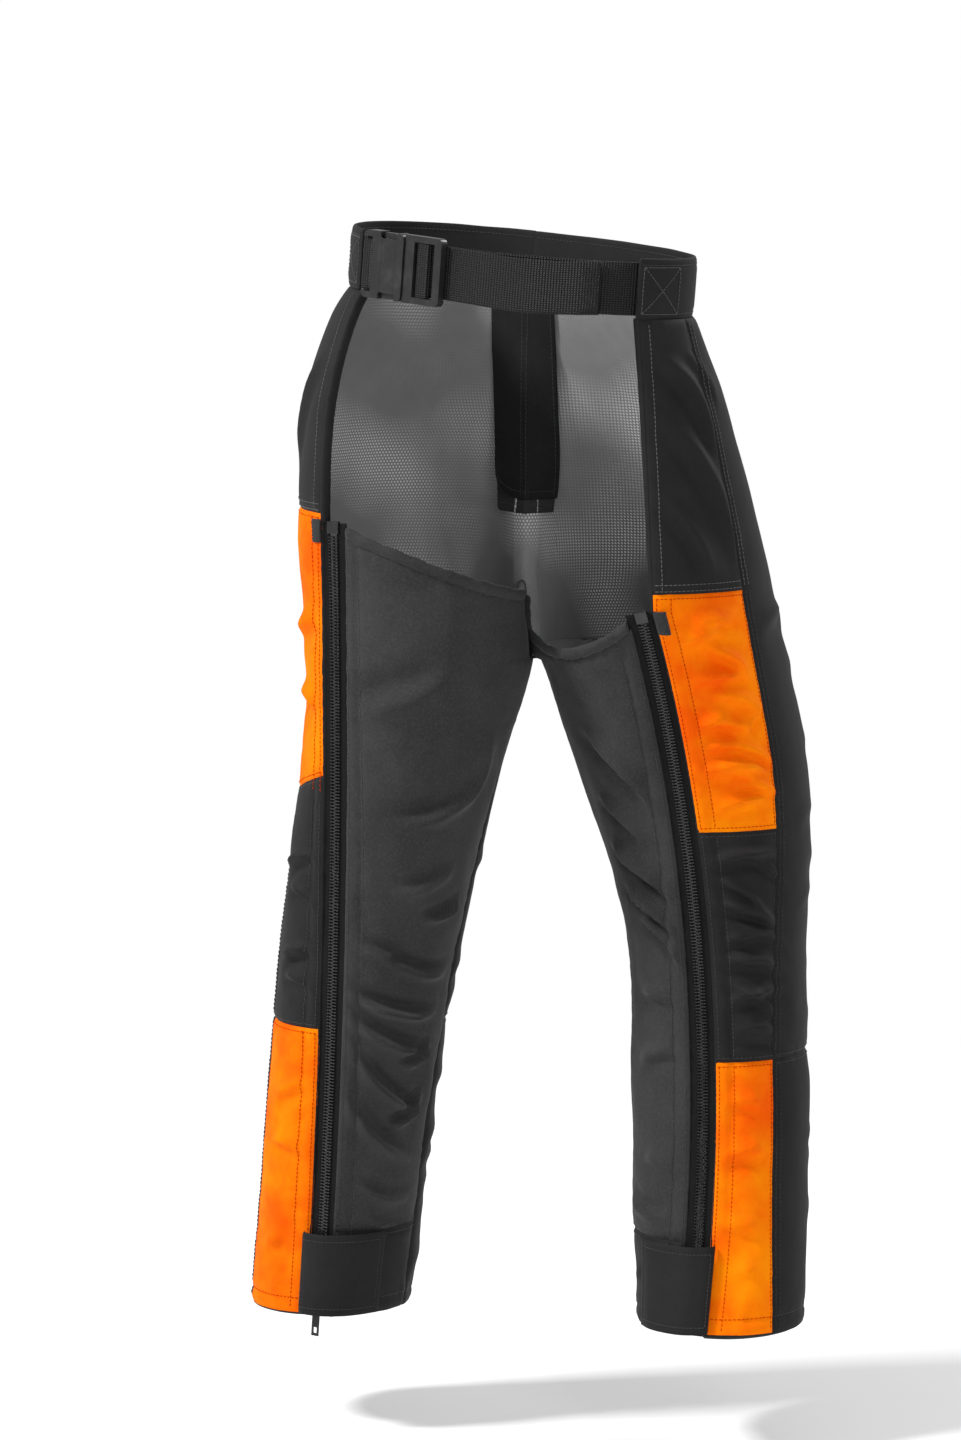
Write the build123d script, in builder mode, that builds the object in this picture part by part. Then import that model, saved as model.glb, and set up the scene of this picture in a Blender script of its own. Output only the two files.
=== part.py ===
"""Chainsaw chaps: two wrap-around protective legs on a waist belt, open at the seat.

Units are millimetres. +Z is up, +Y is the way the wearer faces and +X is the wearer's right.
The origin is the middle of the waist opening, at half the height of the waistband.

Each leg is a tube of cloth round a bent centreline. Its cross-sections are drawn as arcs between
the named seams of the garment (zip, side seam, front, inseam), and every cloth panel, pad and
lining is a loft through those sections at its own depth below the outer surface.
"""

import os
from functools import cache
from math import asin, atan2, cos, degrees, radians, sin, sqrt

from build123d import *

os.makedirs("parts", exist_ok=True)

# ---------------------------------------------------------------- driving dimensions
WAIST_HALF_WIDTH = 172.0
WAIST_HALF_DEPTH_BACK = 118.0
WAIST_HALF_DEPTH_FRONT = 100.0
WAIST_ROLL = 4.4  # degrees, right side lower
BAND_HEIGHT = 56.0
BAND_THICKNESS = 3.0
WEBBING_WIDTH = 50.0
WEBBING_THICKNESS = 1.6
STRAP_INSET, TAIL_INSET = 5.0, 1.2  # middle of each strap layer inside the waist outline
TAIL_END = 43.0  # degrees round the waist from the back
BUCKLE_MIDDLE = (-75.0, -104.0)
BUCKLE_TURN = 14.6  # degrees, left end forward
BUCKLE_WIDTH = 64.0
PRONG_ROOT, PRONG_HEIGHT = 6.0, 19.5

HEM_LEVEL = -1005.0
CROTCH_LEVEL = -370.0
CUFF_TOP_LEVEL = -922.0
STATION_STEP = 66.0

CLOTH = 1.5
PAD_TOP_INSET, PAD_THICKNESS = 1.8, 6.0
LINING_INSET, LINING_THICKNESS = 8.1, 1.0
FACING_INSET, FACING_THICKNESS = 9.5, 1.2
PAD_TOP, PAD_LOW = -60.0, -960.0
BINDING_HEIGHT = 10.0
BINDING_PROUD, BINDING_THICKNESS = 1.3, 3.5

FACING_LEFT_WIDTH, FACING_RIGHT_WIDTH, FACING_LOW = 40.0, 26.0, -238.0

ZIP_EDGE = 13.0  # from the middle of the zip to the edge of the cloth each side
ZIP_START = 12.0  # length at the top taken by the retainer box
CHAIN_HALF_WIDTH = 5.0
CHAIN_GAP = 0.8  # half of the gap that the slider's post runs in
CHAIN_LOW, CHAIN_HIGH = -4.8, -0.8  # measured outwards from the cloth surface
TAPE_LOW, TAPE_HIGH = -3.2, -2.4
TAPE_EDGE = 14.0
BOX_HALF_WIDTH = 6.2

SLIDER_LENGTH, SLIDER_HALF_WIDTH = 16.0, 6.6
SLIDER_WALL = 1.2
SLIDER_PLAY = 0.6
POST_HALF_WIDTH = 0.6
LUG_MIDDLE, LUG_THICKNESS = 4.7, 1.4
PIN_LEVEL, PIN_DROP = 2.9, -4.0
PULL_LENGTH, PULL_WIDTH, PULL_THICKNESS = 27.0, 7.6, 1.8
PULL_PIN_RADIUS = 1.0

FLAP_TOP, FLAP_LOW = -924.0, -1003.0
FLAP_LIFT, FLAP_THICKNESS, FLAP_ROOT_LIFT = 10.8, 1.6, 1.5


def smooth(knots, z):
    """Cubic curve through (level, value) knots listed from the top down."""
    if z >= knots[0][0]:
        return knots[0][1]
    if z <= knots[-1][0]:
        return knots[-1][1]
    i = next(k for k in range(len(knots) - 1) if knots[k + 1][0] <= z)

    def slope(k):
        low, high = max(k - 1, 0), min(k + 1, len(knots) - 1)
        return (knots[high][1] - knots[low][1]) / (knots[high][0] - knots[low][0])

    (za, va), (zb, vb) = knots[i], knots[i + 1]
    span = zb - za
    t = (z - za) / span
    return (
        va * (2 * t**3 - 3 * t**2 + 1)
        + slope(i) * span * (t**3 - 2 * t**2 + t)
        + vb * (3 * t**2 - 2 * t**3)
        + slope(i + 1) * span * (t**3 - t**2)
    )


class Leg:
    """The shape of one leg: its centreline, its girth and where its seams run."""

    def __init__(
        self, side, zip_points, zip_facing, centre_x, radius, levels, inseam, opening, ease, slider_rest
    ):
        self.side = side
        self.sign = -1 if side == "left" else 1
        self.zip_points = [Vector(*p) for p in zip_points]
        self.zip_facing = zip_facing
        self.centre_x = centre_x
        self.radius = radius
        self.thigh_high, self.tube_top, self.thigh_low, self.knee_low = levels
        self.inseam = inseam
        self.opening = opening
        self.ease = ease
        self.slider_rest = slider_rest  # middle of the slider above the foot of the zip
        first, middle, last = self.zip_points
        chord, rise = last - first, middle - first
        self.zip_axis = rise.cross(chord).normalized()
        along = chord.normalized()
        across = along.cross(self.zip_axis)
        half, x, y = chord.length / 2, rise.dot(along), rise.dot(across)
        lift = (x * x + y * y - 2 * x * half) / (2 * y)
        self.zip_centre = first + along * half + across * lift
        arm = first - self.zip_centre
        self.zip_radius = arm.length
        if arm.cross(chord).dot(self.zip_axis) < 0:
            self.zip_axis *= -1
        self.zip_sweep = degrees(2 * asin(half / self.zip_radius))

    @cache
    def zip_at(self, z):
        """The point of the zip's arc at a level."""
        low, high = 0.0, self.zip_sweep
        for _ in range(50):
            middle = (low + high) / 2
            if self.zip_point(middle).Z > z:
                low = middle
            else:
                high = middle
        return self.zip_point((low + high) / 2)

    def zip_point(self, turn):
        """The point that many degrees down the zip from its top."""
        arm, axis, a = self.zip_points[0] - self.zip_centre, self.zip_axis, radians(turn)
        return self.zip_centre + arm * cos(a) + axis.cross(arm) * sin(a)

    def zip_frame(self, turn):
        """A plane across the zip: its Y points out of the leg and its Z runs down the zip."""
        origin = self.zip_point(turn)
        down = (self.zip_point(turn + 0.01) - self.zip_point(turn - 0.01)).normalized()
        out = self.direction(self.zip_facing)
        out = (out - down * out.dot(down)).normalized()
        return Plane(origin, x_dir=out.cross(down), z_dir=down)

    def direction(self, theta):
        """Horizontal unit vector: 0 degrees points back, 90 out to the side, 180 forward."""
        return Vector(self.sign * sin(radians(theta)), -cos(radians(theta)))

    def tube(self, z):
        """Centre and radius of the leg at a level, with the zip on its surface."""
        zipped = self.zip_at(z)
        cx, r = smooth(self.centre_x, z), smooth(self.radius, z)
        return Vector(cx, zipped.Y + sqrt(r * r - (zipped.X - cx) ** 2)), r

    def on_tube(self, z, theta):
        """(point, inward normal) on the tube."""
        centre, r = self.tube(z)
        out = self.direction(theta)
        return centre + out * r, out * -1

    def zip_theta(self, z):
        centre, r = self.tube(z)
        return degrees(asin(self.sign * (self.zip_at(z).X - centre.X) / r))

    def tube_skin(self, z, u):
        """(point, inward normal) below the seat; u is 0 at the zip, 1 at the side seam, 2 inside
        the leg, and runs from 0 down to -1 across the back panel."""
        centre, r = self.tube(z)
        zipped, step = self.zip_theta(z), degrees(ZIP_EDGE / r)
        side, medial = smooth(SIDE_SEAM, z), smooth(self.inseam, z)
        end, end_inward = self.on_tube(z, medial)
        if z >= CROTCH_LEVEL:
            end = centre_front(z)
        arm = end - centre
        angle = degrees(atan2(self.sign * arm.X, -arm.Y)) % 360
        facing = self.direction(self.zip_facing)
        across = Vector(-self.sign * facing.Y, self.sign * facing.X) * ZIP_EDGE
        foot = Vector(self.zip_at(z).X, self.zip_at(z).Y)
        if u >= 1:
            theta, near_end, near_zip = side + (angle - side) * (u - 1), (u - 1) ** 3, 0
        elif u >= 0:
            theta, near_end, near_zip = zipped + step + (side - zipped - step) * u, 0, (1 - u) ** 3
        else:
            theta = zipped - step + (zipped - step - angle + 360) * u
            near_end, near_zip, across = (-u) ** 3, (1 + u) ** 3, across * -1
        place, inward = self.on_tube(z, theta)
        zip_edge = foot + across
        zip_miss = zip_edge - self.on_tube(z, zipped + (step if u >= 0 else -step))[0]
        end_miss = end - self.on_tube(z, angle)[0]
        place += zip_miss * near_zip + end_miss * near_end
        if z >= CROTCH_LEVEL:
            place = keep_to_side(place, z, self.sign, SEAM_GAP if u >= 0 else BACK_SEAM_GAP)
        inward = inward * (1 - near_zip - near_end) + facing * -near_zip + end_inward * near_end
        return place, inward.normalized()

    def waist_skin(self, u):
        """The same place where it meets the waistband, in the waist plane."""
        if u >= 1:
            return waist_point(self.sign, SIDE_AT_WAIST + (180 - SIDE_AT_WAIST) * (u - 1), CENTRE_SHIFT)
        return waist_point(self.sign, self.opening + (SIDE_AT_WAIST - self.opening) * u)

    def skin(self, z, u):
        """Any level: between waist and seat the skin eases from one shape to the other."""
        if z <= self.tube_top:
            return self.tube_skin(z, u)
        if z >= PANEL_TOP:
            return self.waist_skin(u)
        t = (PANEL_TOP - z) / (PANEL_TOP - self.tube_top)
        w = 1 - (1 - t) ** self.ease
        (high, high_inward), (low, low_inward) = self.waist_skin(u), self.tube_skin(self.tube_top, u)
        place = high * (1 - w) + low * w
        if u > 1:
            end = self.waist_skin(2)[0] * (1 - w) + self.tube_skin(self.tube_top, 2)[0] * w
            place += (centre_front(z) - end) * (u - 1) ** 3
        return place, (high_inward * (1 - w) + low_inward * w).normalized()

    def stations(self, high, low):
        """Levels of the sections from high to low; every panel of a leg uses the same ones."""
        named = [PANEL_TOP, self.tube_top, CROTCH_LEVEL, self.thigh_low, self.knee_low]
        named += [CUFF_TOP_LEVEL, HEM_LEVEL]
        levels = []
        for a, b in zip(named, named[1:]):
            count = max(1, round((a - b) / STATION_STEP))
            levels += [a + (b - a) * k / count for k in range(count)]
        levels += [named[-1], PAD_TOP, PAD_LOW, self.thigh_high]
        return sorted((z for z in levels if low - 0.1 <= z <= high + 0.1), reverse=True)


PANEL_TOP = -BAND_HEIGHT / 2
BETWEEN_LEGS = Vector(0.91, 0.41).normalized()  # from the left leg towards the right
SEAM_GAP = 0.3
BACK_SEAM_GAP = 1.6  # room for the bindings
SIDE_AT_WAIST = 86.0
CENTRE_SHIFT = -34.0  # the middle front seam sits this far to the wearer's left
SIDE_SEAM = [(-235, 77), (-530, 67), (-750, 61), (HEM_LEVEL, 61)]
CENTRE_FRONT_X = [(-28, -34), (-110, -36), (-190, -32), (-250, -24), (-310, -15), (CROTCH_LEVEL, -4)]
CENTRE_FRONT_Y = [(-28, 100), (-110, 101), (-190, 86), (-250, 60), (-310, 38), (CROTCH_LEVEL, 26)]

LEFT = Leg(
    side="left",
    zip_points=[(-143, -122, -235), (-144, -120, -620), (-163, -118, HEM_LEVEL)],
    zip_facing=3,
    centre_x=[(-235, -100), (-370, -97), (-500, -119), (-640, -145), (-790, -163), (-1005, -185)],
    radius=[(-235, 118), (-370, 108), (-480, 95), (-640, 87), (-820, 80), (-1005, 77)],
    levels=(-228, -235, -500, -725),
    inseam=[(-235, 229), (CROTCH_LEVEL, 245), (-600, 257), (HEM_LEVEL, 268)],
    opening=53,
    ease=3.0,
    slider_rest=11.0,
)
RIGHT = Leg(
    side="right",
    zip_points=[(146, -55, -315), (178, 15, -665), (195, -44, HEM_LEVEL)],
    zip_facing=13,
    centre_x=[(-315, 104), (-370, 113), (-500, 137), (-620, 158), (-760, 167), (-900, 178), (-1005, 194)],
    radius=[(-315, 120), (-370, 117), (-490, 109), (-620, 88), (-710, 83), (-800, 84), (-1005, 80)],
    levels=(-298, -315, -530, -752),
    inseam=[(-315, 289), (CROTCH_LEVEL, 294), (-600, 290), (HEM_LEVEL, 288)],
    opening=59,
    ease=1.15,
    slider_rest=38.0,
)


def centre_front(z):
    """The seam down the middle of the front, from the waistband to the crotch."""
    return Vector(smooth(CENTRE_FRONT_X, z), smooth(CENTRE_FRONT_Y, z))


def keep_to_side(place, z, sign, gap):
    """Keeps cloth above the crotch on its own side of the seam between the legs."""
    past = BETWEEN_LEGS.dot(place - centre_front(z)) * sign - gap
    return place - BETWEEN_LEGS * (past * sign) if past < 0 else place


def waist_point(sign, psi, shift=0):
    """(point, inward normal) on the waist outline; psi is 0 at the back and 180 in front."""
    depth = WAIST_HALF_DEPTH_BACK if psi < 90 else WAIST_HALF_DEPTH_FRONT
    x, y = sign * WAIST_HALF_WIDTH * sin(radians(psi)), -depth * cos(radians(psi))
    inward = Vector(-x / WAIST_HALF_WIDTH**2, -y / depth**2).normalized()
    return Vector(x, y) + Vector(shift * max(0, (psi - 90) / 90) ** 2), inward


def waist_plane(height):
    """A plane parallel to the waistband's, that far above its middle."""
    roll = radians(WAIST_ROLL)
    up = Vector(sin(roll), 0, cos(roll))
    return Plane(up * height, x_dir=(cos(roll), 0, -sin(roll)), z_dir=up)


BACK_TOP_PLANES = {
    "left": Plane((0, 0, -301), z_dir=(0.356, 0.126, 1)),
    "right": Plane((0, 0, -351), z_dir=(-0.816, -1.47, 1)),
}


def section_plane(z):
    return waist_plane(PANEL_TOP) if z >= PANEL_TOP else Plane.XY.offset(z)


def section(leg, z, start, end, outer_inset, inner_inset):
    """Draws one closed section of a layer between two depths below the outer surface."""
    count = 4 + round(6 * abs(end - start))
    skin = [leg.skin(z, start + (end - start) * k / count) for k in range(count + 1)]
    outer, inner = ([place + inward * d for place, inward in skin] for d in (outer_inset, inner_inset))
    with BuildSketch(section_plane(z)) as drawn:
        with BuildLine():
            Spline(*outer)
            Line(outer[-1], inner[-1])
            Spline(*inner[::-1])
            Line(inner[0], outer[0])
        make_face()
    return drawn.sketch.face()


def finish(built, label):
    """Names a finished piece and writes it."""
    built.part.label = label
    export_step(built.part, f"parts/{label}.step")


def layer(leg, start, end, levels, inset, thickness):
    """Sections of a layer of cloth between two places round the leg, one for each level."""
    return [section(leg, z, start, end, inset, inset + thickness) for z in levels]


def cloth(leg, start, end, high, low, inset, thickness, label):
    """A layer of cloth between two places round the leg, lofted down it."""
    with BuildPart() as panel:
        loft(layer(leg, start, end, leg.stations(high, low), inset, thickness), ruled=True)
    finish(panel, label)


def zip_strip(leg, near, far, low, high, label):
    """Part of the zip on one side of its middle, from near to far, swept down the zip's arc."""
    start = leg.zip_frame(degrees(ZIP_START / leg.zip_radius))
    sweep = leg.zip_sweep - degrees(ZIP_START / leg.zip_radius)
    with BuildPart() as strip:
        with BuildSketch(start):
            with Locations(((near + far) / 2, (low + high) / 2)):
                Rectangle(abs(far - near), high - low)
        revolve(axis=Axis(leg.zip_centre, leg.zip_axis), revolution_arc=sweep)
    finish(strip, label)


def facing_plane(leg, above_foot):
    """A plane on the zip that looks out of the leg, with Y up the zip."""
    frame = leg.zip_frame(leg.zip_sweep - degrees(above_foot / leg.zip_radius))
    return Plane(frame.origin, x_dir=frame.x_dir, z_dir=frame.y_dir)


# ---------------------------------------------------------------- cloth of the two legs
for leg in (LEFT, RIGHT):
    s = leg.side
    cloth(leg, 1, 1.998, 0, leg.knee_low, 0, CLOTH, f"front_panel_{s}")
    cloth(leg, 1, 1.998, leg.knee_low, HEM_LEVEL, 0, CLOTH, f"shin_panel_{s}")
    cloth(leg, 0, 1, 0, leg.thigh_high, 0, CLOTH, f"hip_panel_{s}")
    cloth(leg, 0, 1, leg.thigh_high, leg.thigh_low, 0, CLOTH, f"hi_vis_thigh_panel_{s}")
    cloth(leg, 0, 1, leg.thigh_low, leg.knee_low, 0, CLOTH, f"knee_side_panel_{s}")
    cloth(leg, 0, 1, leg.knee_low, HEM_LEVEL, 0, CLOTH, f"hi_vis_shin_panel_{s}")
    cloth(leg, -0.001, -1, CUFF_TOP_LEVEL, HEM_LEVEL, 0, CLOTH, f"cuff_panel_{s}")
    cloth(leg, 0.4, 1.99, PAD_TOP, PAD_LOW, PAD_TOP_INSET, PAD_THICKNESS, f"protective_pad_{s}")
    cloth(leg, 0, 1.99, 0, HEM_LEVEL, LINING_INSET, LINING_THICKNESS, f"mesh_lining_{s}")

    # The back panel's top edge is cut on a slant and finished with a rolled binding.
    top = BACK_TOP_PLANES[s]
    levels = leg.stations(leg.tube_top, CUFF_TOP_LEVEL)
    with BuildPart() as back_panel:
        loft(layer(leg, -0.001, -0.998, levels, 0, CLOTH), ruled=True)
        split(bisect_by=top.offset(-BINDING_HEIGHT), keep=Keep.BOTTOM)
    finish(back_panel, f"back_panel_{s}")
    with BuildPart() as back_binding:
        loft(layer(leg, -0.013, -0.998, levels[:4], -BINDING_PROUD, BINDING_THICKNESS), ruled=True)
        split(bisect_by=top, keep=Keep.BOTTOM)
        split(bisect_by=top.offset(-BINDING_HEIGHT), keep=Keep.TOP)
    finish(back_binding, f"back_binding_{s}")

    # A small tab covers the top corner of the hi-vis thigh panel beside the zip.
    tab_levels = [leg.tube_top - 3, leg.tube_top - 27]
    with BuildPart() as zip_top_tab:
        loft(layer(leg, 0.03, 0.16, tab_levels, -1.8, 1.2), ruled=True)
    finish(zip_top_tab, f"zip_top_tab_{s}")

# ---------------------------------------------------------------- zips
for leg in (LEFT, RIGHT):
    s = leg.side
    for name, way in (("outer", leg.sign), ("inner", -leg.sign)):
        zip_strip(leg, way * CHAIN_GAP, way * CHAIN_HALF_WIDTH, CHAIN_LOW, CHAIN_HIGH, f"zip_chain_{name}_{s}")
        zip_strip(leg, way * CHAIN_HALF_WIDTH, way * TAPE_EDGE, TAPE_LOW, TAPE_HIGH, f"zip_tape_{name}_{s}")

    with BuildPart() as retainer_box:
        box_plane = leg.zip_frame(0)
        with BuildSketch(box_plane):
            with Locations((0, (CHAIN_LOW + CHAIN_HIGH) / 2)):
                RectangleRounded(2 * BOX_HALF_WIDTH, CHAIN_HIGH - CHAIN_LOW + 1.6, 1.2)
        extrude(amount=ZIP_START - 0.5)
    finish(retainer_box, f"zip_retainer_box_{s}")

    # The slider rides on both chain halves; its post runs in the gap between them.
    base = facing_plane(leg, leg.slider_rest)
    plate_high, plate_low = CHAIN_HIGH + SLIDER_PLAY, CHAIN_LOW - SLIDER_PLAY
    with BuildPart() as zip_slider:
        for level in (plate_high, plate_low - SLIDER_WALL):
            with BuildSketch(base.offset(level)):
                RectangleRounded(2 * SLIDER_HALF_WIDTH, SLIDER_LENGTH, 3)
            extrude(amount=SLIDER_WALL)
        with BuildSketch(base.offset(plate_low)):
            with Locations((0, SLIDER_LENGTH / 2 - 2)):
                Rectangle(2 * POST_HALF_WIDTH, 2.6)
        extrude(amount=plate_high - plate_low)
        for low, high in ((plate_low, TAPE_LOW - 0.5), (TAPE_HIGH + 0.5, plate_high)):
            with BuildSketch(base.offset(low)):
                with Locations((SLIDER_HALF_WIDTH - 0.5, 0), (0.5 - SLIDER_HALF_WIDTH, 0)):
                    Rectangle(1.0, SLIDER_LENGTH - 6)
            extrude(amount=high - low)
        lug_base = plate_high + SLIDER_WALL
        lug_plane = Plane(base.origin, x_dir=base.z_dir, z_dir=base.x_dir * -1)
        for side in (-1, 1):
            with BuildSketch(lug_plane.offset(side * LUG_MIDDLE - LUG_THICKNESS / 2)):
                with Locations((PIN_LEVEL, PIN_DROP)):
                    Circle(PULL_PIN_RADIUS + 0.7)
                with Locations(((PIN_LEVEL + lug_base) / 2, PIN_DROP)):
                    Rectangle(PIN_LEVEL - lug_base, 2 * PULL_PIN_RADIUS + 1.4)
            extrude(amount=LUG_THICKNESS)
        with BuildSketch(lug_plane.offset(-LUG_MIDDLE)):
            with Locations((PIN_LEVEL, PIN_DROP)):
                Circle(PULL_PIN_RADIUS)
        extrude(amount=2 * LUG_MIDDLE)
    finish(zip_slider, f"zip_slider_{s}")

    with BuildPart() as zip_pull:
        with BuildSketch(lug_plane.offset(-PULL_WIDTH / 2)):
            with Locations((PIN_LEVEL, PIN_DROP)):
                Circle(PULL_PIN_RADIUS + 0.75)
            with Locations((PIN_LEVEL, PIN_DROP - PULL_LENGTH / 2)):
                Rectangle(PULL_THICKNESS, PULL_LENGTH)
            with Locations((PIN_LEVEL, PIN_DROP)):
                Circle(PULL_PIN_RADIUS + 0.05, mode=Mode.SUBTRACT)
        extrude(amount=PULL_WIDTH)
        with BuildSketch(base.offset(PIN_LEVEL - PULL_THICKNESS)):
            with Locations((0, PIN_DROP - PULL_LENGTH + 5.5)):
                RectangleRounded(3.8, 6.0, 0.8)
        extrude(amount=2 * PULL_THICKNESS, mode=Mode.SUBTRACT)
    finish(zip_pull, f"zip_pull_{s}")

# ---------------------------------------------------------------- flaps over the foot of each zip
def flap_section(leg, z, root):
    """The flap at one level: sewn down at root, standing off the zip, lying on the back."""
    zip_end = leg.zip_at(z)
    zip_place, out = Vector(zip_end.X, zip_end.Y), leg.direction(leg.zip_facing)
    line = [(root, out)]
    line.append((zip_place + out * FLAP_LIFT, out))
    for u, lift in ((-0.17, FLAP_LIFT - 0.5), (-0.34, FLAP_LIFT - 3), (-0.5, FLAP_LIFT - 6)):
        place, inward = leg.skin(z, u)
        line.append((place - inward * lift, inward * -1))
    inner = [place - normal * (FLAP_THICKNESS / 2) for place, normal in line]
    outer = [place + normal * (FLAP_THICKNESS / 2) for place, normal in line]
    with BuildSketch(Plane.XY.offset(z)) as drawn:
        with BuildLine():
            Spline(*inner)
            Line(inner[-1], outer[-1])
            Spline(*outer[::-1])
            Line(outer[0], inner[0])
        make_face()
    return drawn.sketch.face()


for leg in (LEFT, RIGHT):
    levels = [FLAP_TOP, (FLAP_TOP + FLAP_LOW) / 2, FLAP_LOW]
    ends = [leg.skin(z, 0.06) for z in (FLAP_TOP, FLAP_LOW)]
    high_root, low_root = (place - inward * FLAP_ROOT_LIFT for place, inward in ends)
    roots = [high_root, (high_root + low_root) / 2, low_root]
    with BuildPart() as cuff_flap:
        loft([flap_section(leg, z, root) for z, root in zip(levels, roots)], ruled=True)
    finish(cuff_flap, f"cuff_flap_{leg.side}")

# ---------------------------------------------------------------- waistband and fly facing
for leg in (LEFT, RIGHT):
    steps = [leg.opening + (180 - leg.opening) * k / 12 for k in range(13)]
    skin = [waist_point(leg.sign, psi, CENTRE_SHIFT + 0.1 * leg.sign) for psi in steps]
    outer = [place - inward * 0.6 for place, inward in skin]
    inner = [place + inward * (BAND_THICKNESS - 0.6) for place, inward in skin]
    with BuildPart() as waistband:
        with BuildSketch(waist_plane(-BAND_HEIGHT / 2)):
            with BuildLine():
                Spline(*outer)
                Line(outer[-1], inner[-1])
                Spline(*inner[::-1])
                Line(inner[0], outer[0])
            make_face()
        extrude(amount=BAND_HEIGHT)
    finish(waistband, f"waistband_{leg.side}")


def facing_section(z):
    """The fly facing at one level: a shallow V behind the front seam."""
    middle, depth = centre_front(z), FACING_INSET
    arms = []
    for leg, width in ((LEFT, FACING_LEFT_WIDTH), (RIGHT, FACING_RIGHT_WIDTH)):
        arm = (leg.skin(z, 1.8)[0] - middle).normalized()
        normal = Vector(-leg.sign * arm.Y, leg.sign * arm.X) * -1
        arms.append((arm * width, normal))
    rows = []
    for d in (depth, depth + FACING_THICKNESS):
        (left_arm, left_normal), (right_arm, right_normal) = arms
        fold = middle + (left_normal + right_normal).normalized() * (d + 1.5)
        rows.append([middle + left_arm + left_normal * d, fold, middle + right_arm + right_normal * d])
    with BuildSketch(section_plane(z)) as drawn:
        with BuildLine():
            Spline(*rows[0])
            Line(rows[0][-1], rows[1][-1])
            Spline(*rows[1][::-1])
            Line(rows[1][0], rows[0][0])
        make_face()
    return drawn.sketch.face()


with BuildPart() as fly_facing:
    loft([facing_section(z) for z in (PANEL_TOP, -80, -130, -180, FACING_LOW)], ruled=True)
finish(fly_facing, "fly_facing")

# ---------------------------------------------------------------- buckle
waist = waist_plane(0)
TURN = radians(BUCKLE_TURN)
LENGTHWISE, OUTWARD = Vector(cos(TURN), -sin(TURN)), Vector(-sin(TURN), -cos(TURN))
buckle = Plane(
    waist.from_local_coords(BUCKLE_MIDDLE),
    x_dir=waist.from_local_coords(LENGTHWISE),
    z_dir=waist.from_local_coords(OUTWARD),
)


def block(x, y, z, corner=0.0, mode=Mode.ADD):
    """A flat block of the buckle given by its limits lengthwise, upwards and outwards."""
    with BuildSketch(buckle.offset(z[0])) as outline:
        with Locations(((x[0] + x[1]) / 2, (y[0] + y[1]) / 2)):
            if corner:
                RectangleRounded(x[1] - x[0], y[1] - y[0], corner)
            else:
                Rectangle(x[1] - x[0], y[1] - y[0])
    return extrude(outline.sketch, amount=z[1] - z[0], mode=mode)


HALF, SLOT = BUCKLE_WIDTH / 2, WEBBING_WIDTH / 2 + 1

with BuildPart() as buckle_socket:
    block((-47, 2), (-HALF, HALF), (-6.5, 6.5), corner=6)
    block((-34, 3), (-28.5, 28.5), (-3.6, 3.6), mode=Mode.SUBTRACT)
    block((-42, -36), (-SLOT, SLOT), (-7, 7), mode=Mode.SUBTRACT)
    for low, high in ((1.4, 7), (-7, -1.4)):
        block((-48, -42), (-SLOT, SLOT), (low, high), mode=Mode.SUBTRACT)
    for side in (-1, 1):
        block((-26, -6), sorted((side * 25.5, side * 33)), (-7, 7), corner=1.5, mode=Mode.SUBTRACT)
    chamfer(buckle_socket.edges().filter_by(Axis(buckle.origin, buckle.y_dir)).group_by(
        SortBy.LENGTH)[-1].sort_by(Axis(buckle.origin, buckle.x_dir))[-2:], length=1.0)
finish(buckle_socket, "buckle_socket")

with BuildPart() as buckle_clip:
    block((2.3, 47), (-HALF, HALF), (-4, 4.5), corner=5)
    block((2.3, 12), (-HALF, HALF), (-4, 4.5))
    block((-30, 8), (-7, 7), (-2.6, 2.6))
    for near, far in ((14, 20.5), (28.5, 38.5)):
        block((near, far), (-SLOT, SLOT), (-5, 5), mode=Mode.SUBTRACT)
    block((20, 29), (-SLOT, SLOT), (2.8, 5), mode=Mode.SUBTRACT)
    block((38, 48), (-SLOT, SLOT), (-5, -3.2), mode=Mode.SUBTRACT)
    for side in (-1, 1):
        block((2, 6), sorted((side * 16.6, side * 22.4)), (-2.75, 2.75), mode=Mode.SUBTRACT)
        with BuildSketch(buckle.offset(-2.75)):
            with Locations((PRONG_ROOT, side * PRONG_HEIGHT)):
                Circle(2.7)
        extrude(amount=5.5, mode=Mode.SUBTRACT)
finish(buckle_clip, "buckle_clip")

PRONG_OUTLINE = [(6, 17.3), (-2, 18.5), (-27, 21.0), (-30, 24.0), (-27.6, 27.4), (-25.2, 28.6),
                 (-24, 31.2), (-10, 31.2), (-7.5, 27.5), (-3, 23.2), (2, 22.0), (6, 21.7)]
for name, side in (("upper", 1), ("lower", -1)):
    with BuildPart() as prong:
        with BuildSketch(buckle.offset(-2.65)):
            with BuildLine():
                Polyline([(x, side * y) for x, y in PRONG_OUTLINE], close=True)
            make_face()
            with Locations((PRONG_ROOT, side * PRONG_HEIGHT)):
                Circle(2.6)
        extrude(amount=5.3)
    finish(prong, f"buckle_prong_{name}")

# ---------------------------------------------------------------- belt webbing


def at_waist(sign, psi, inset):
    """A point that far inside the waist outline."""
    place, inward = waist_point(sign, psi)
    return place + inward * inset


def at_buckle(x, z):
    """A point in the waist plane from distances lengthwise along the buckle and outwards."""
    return Vector(*BUCKLE_MIDDLE) + LENGTHWISE * x + OUTWARD * z


def along_waist(sign, psi):
    """Direction of travel round the waist towards the front."""
    inward = waist_point(sign, psi)[1]
    return Vector(sign * inward.Y, -sign * inward.X)


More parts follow.
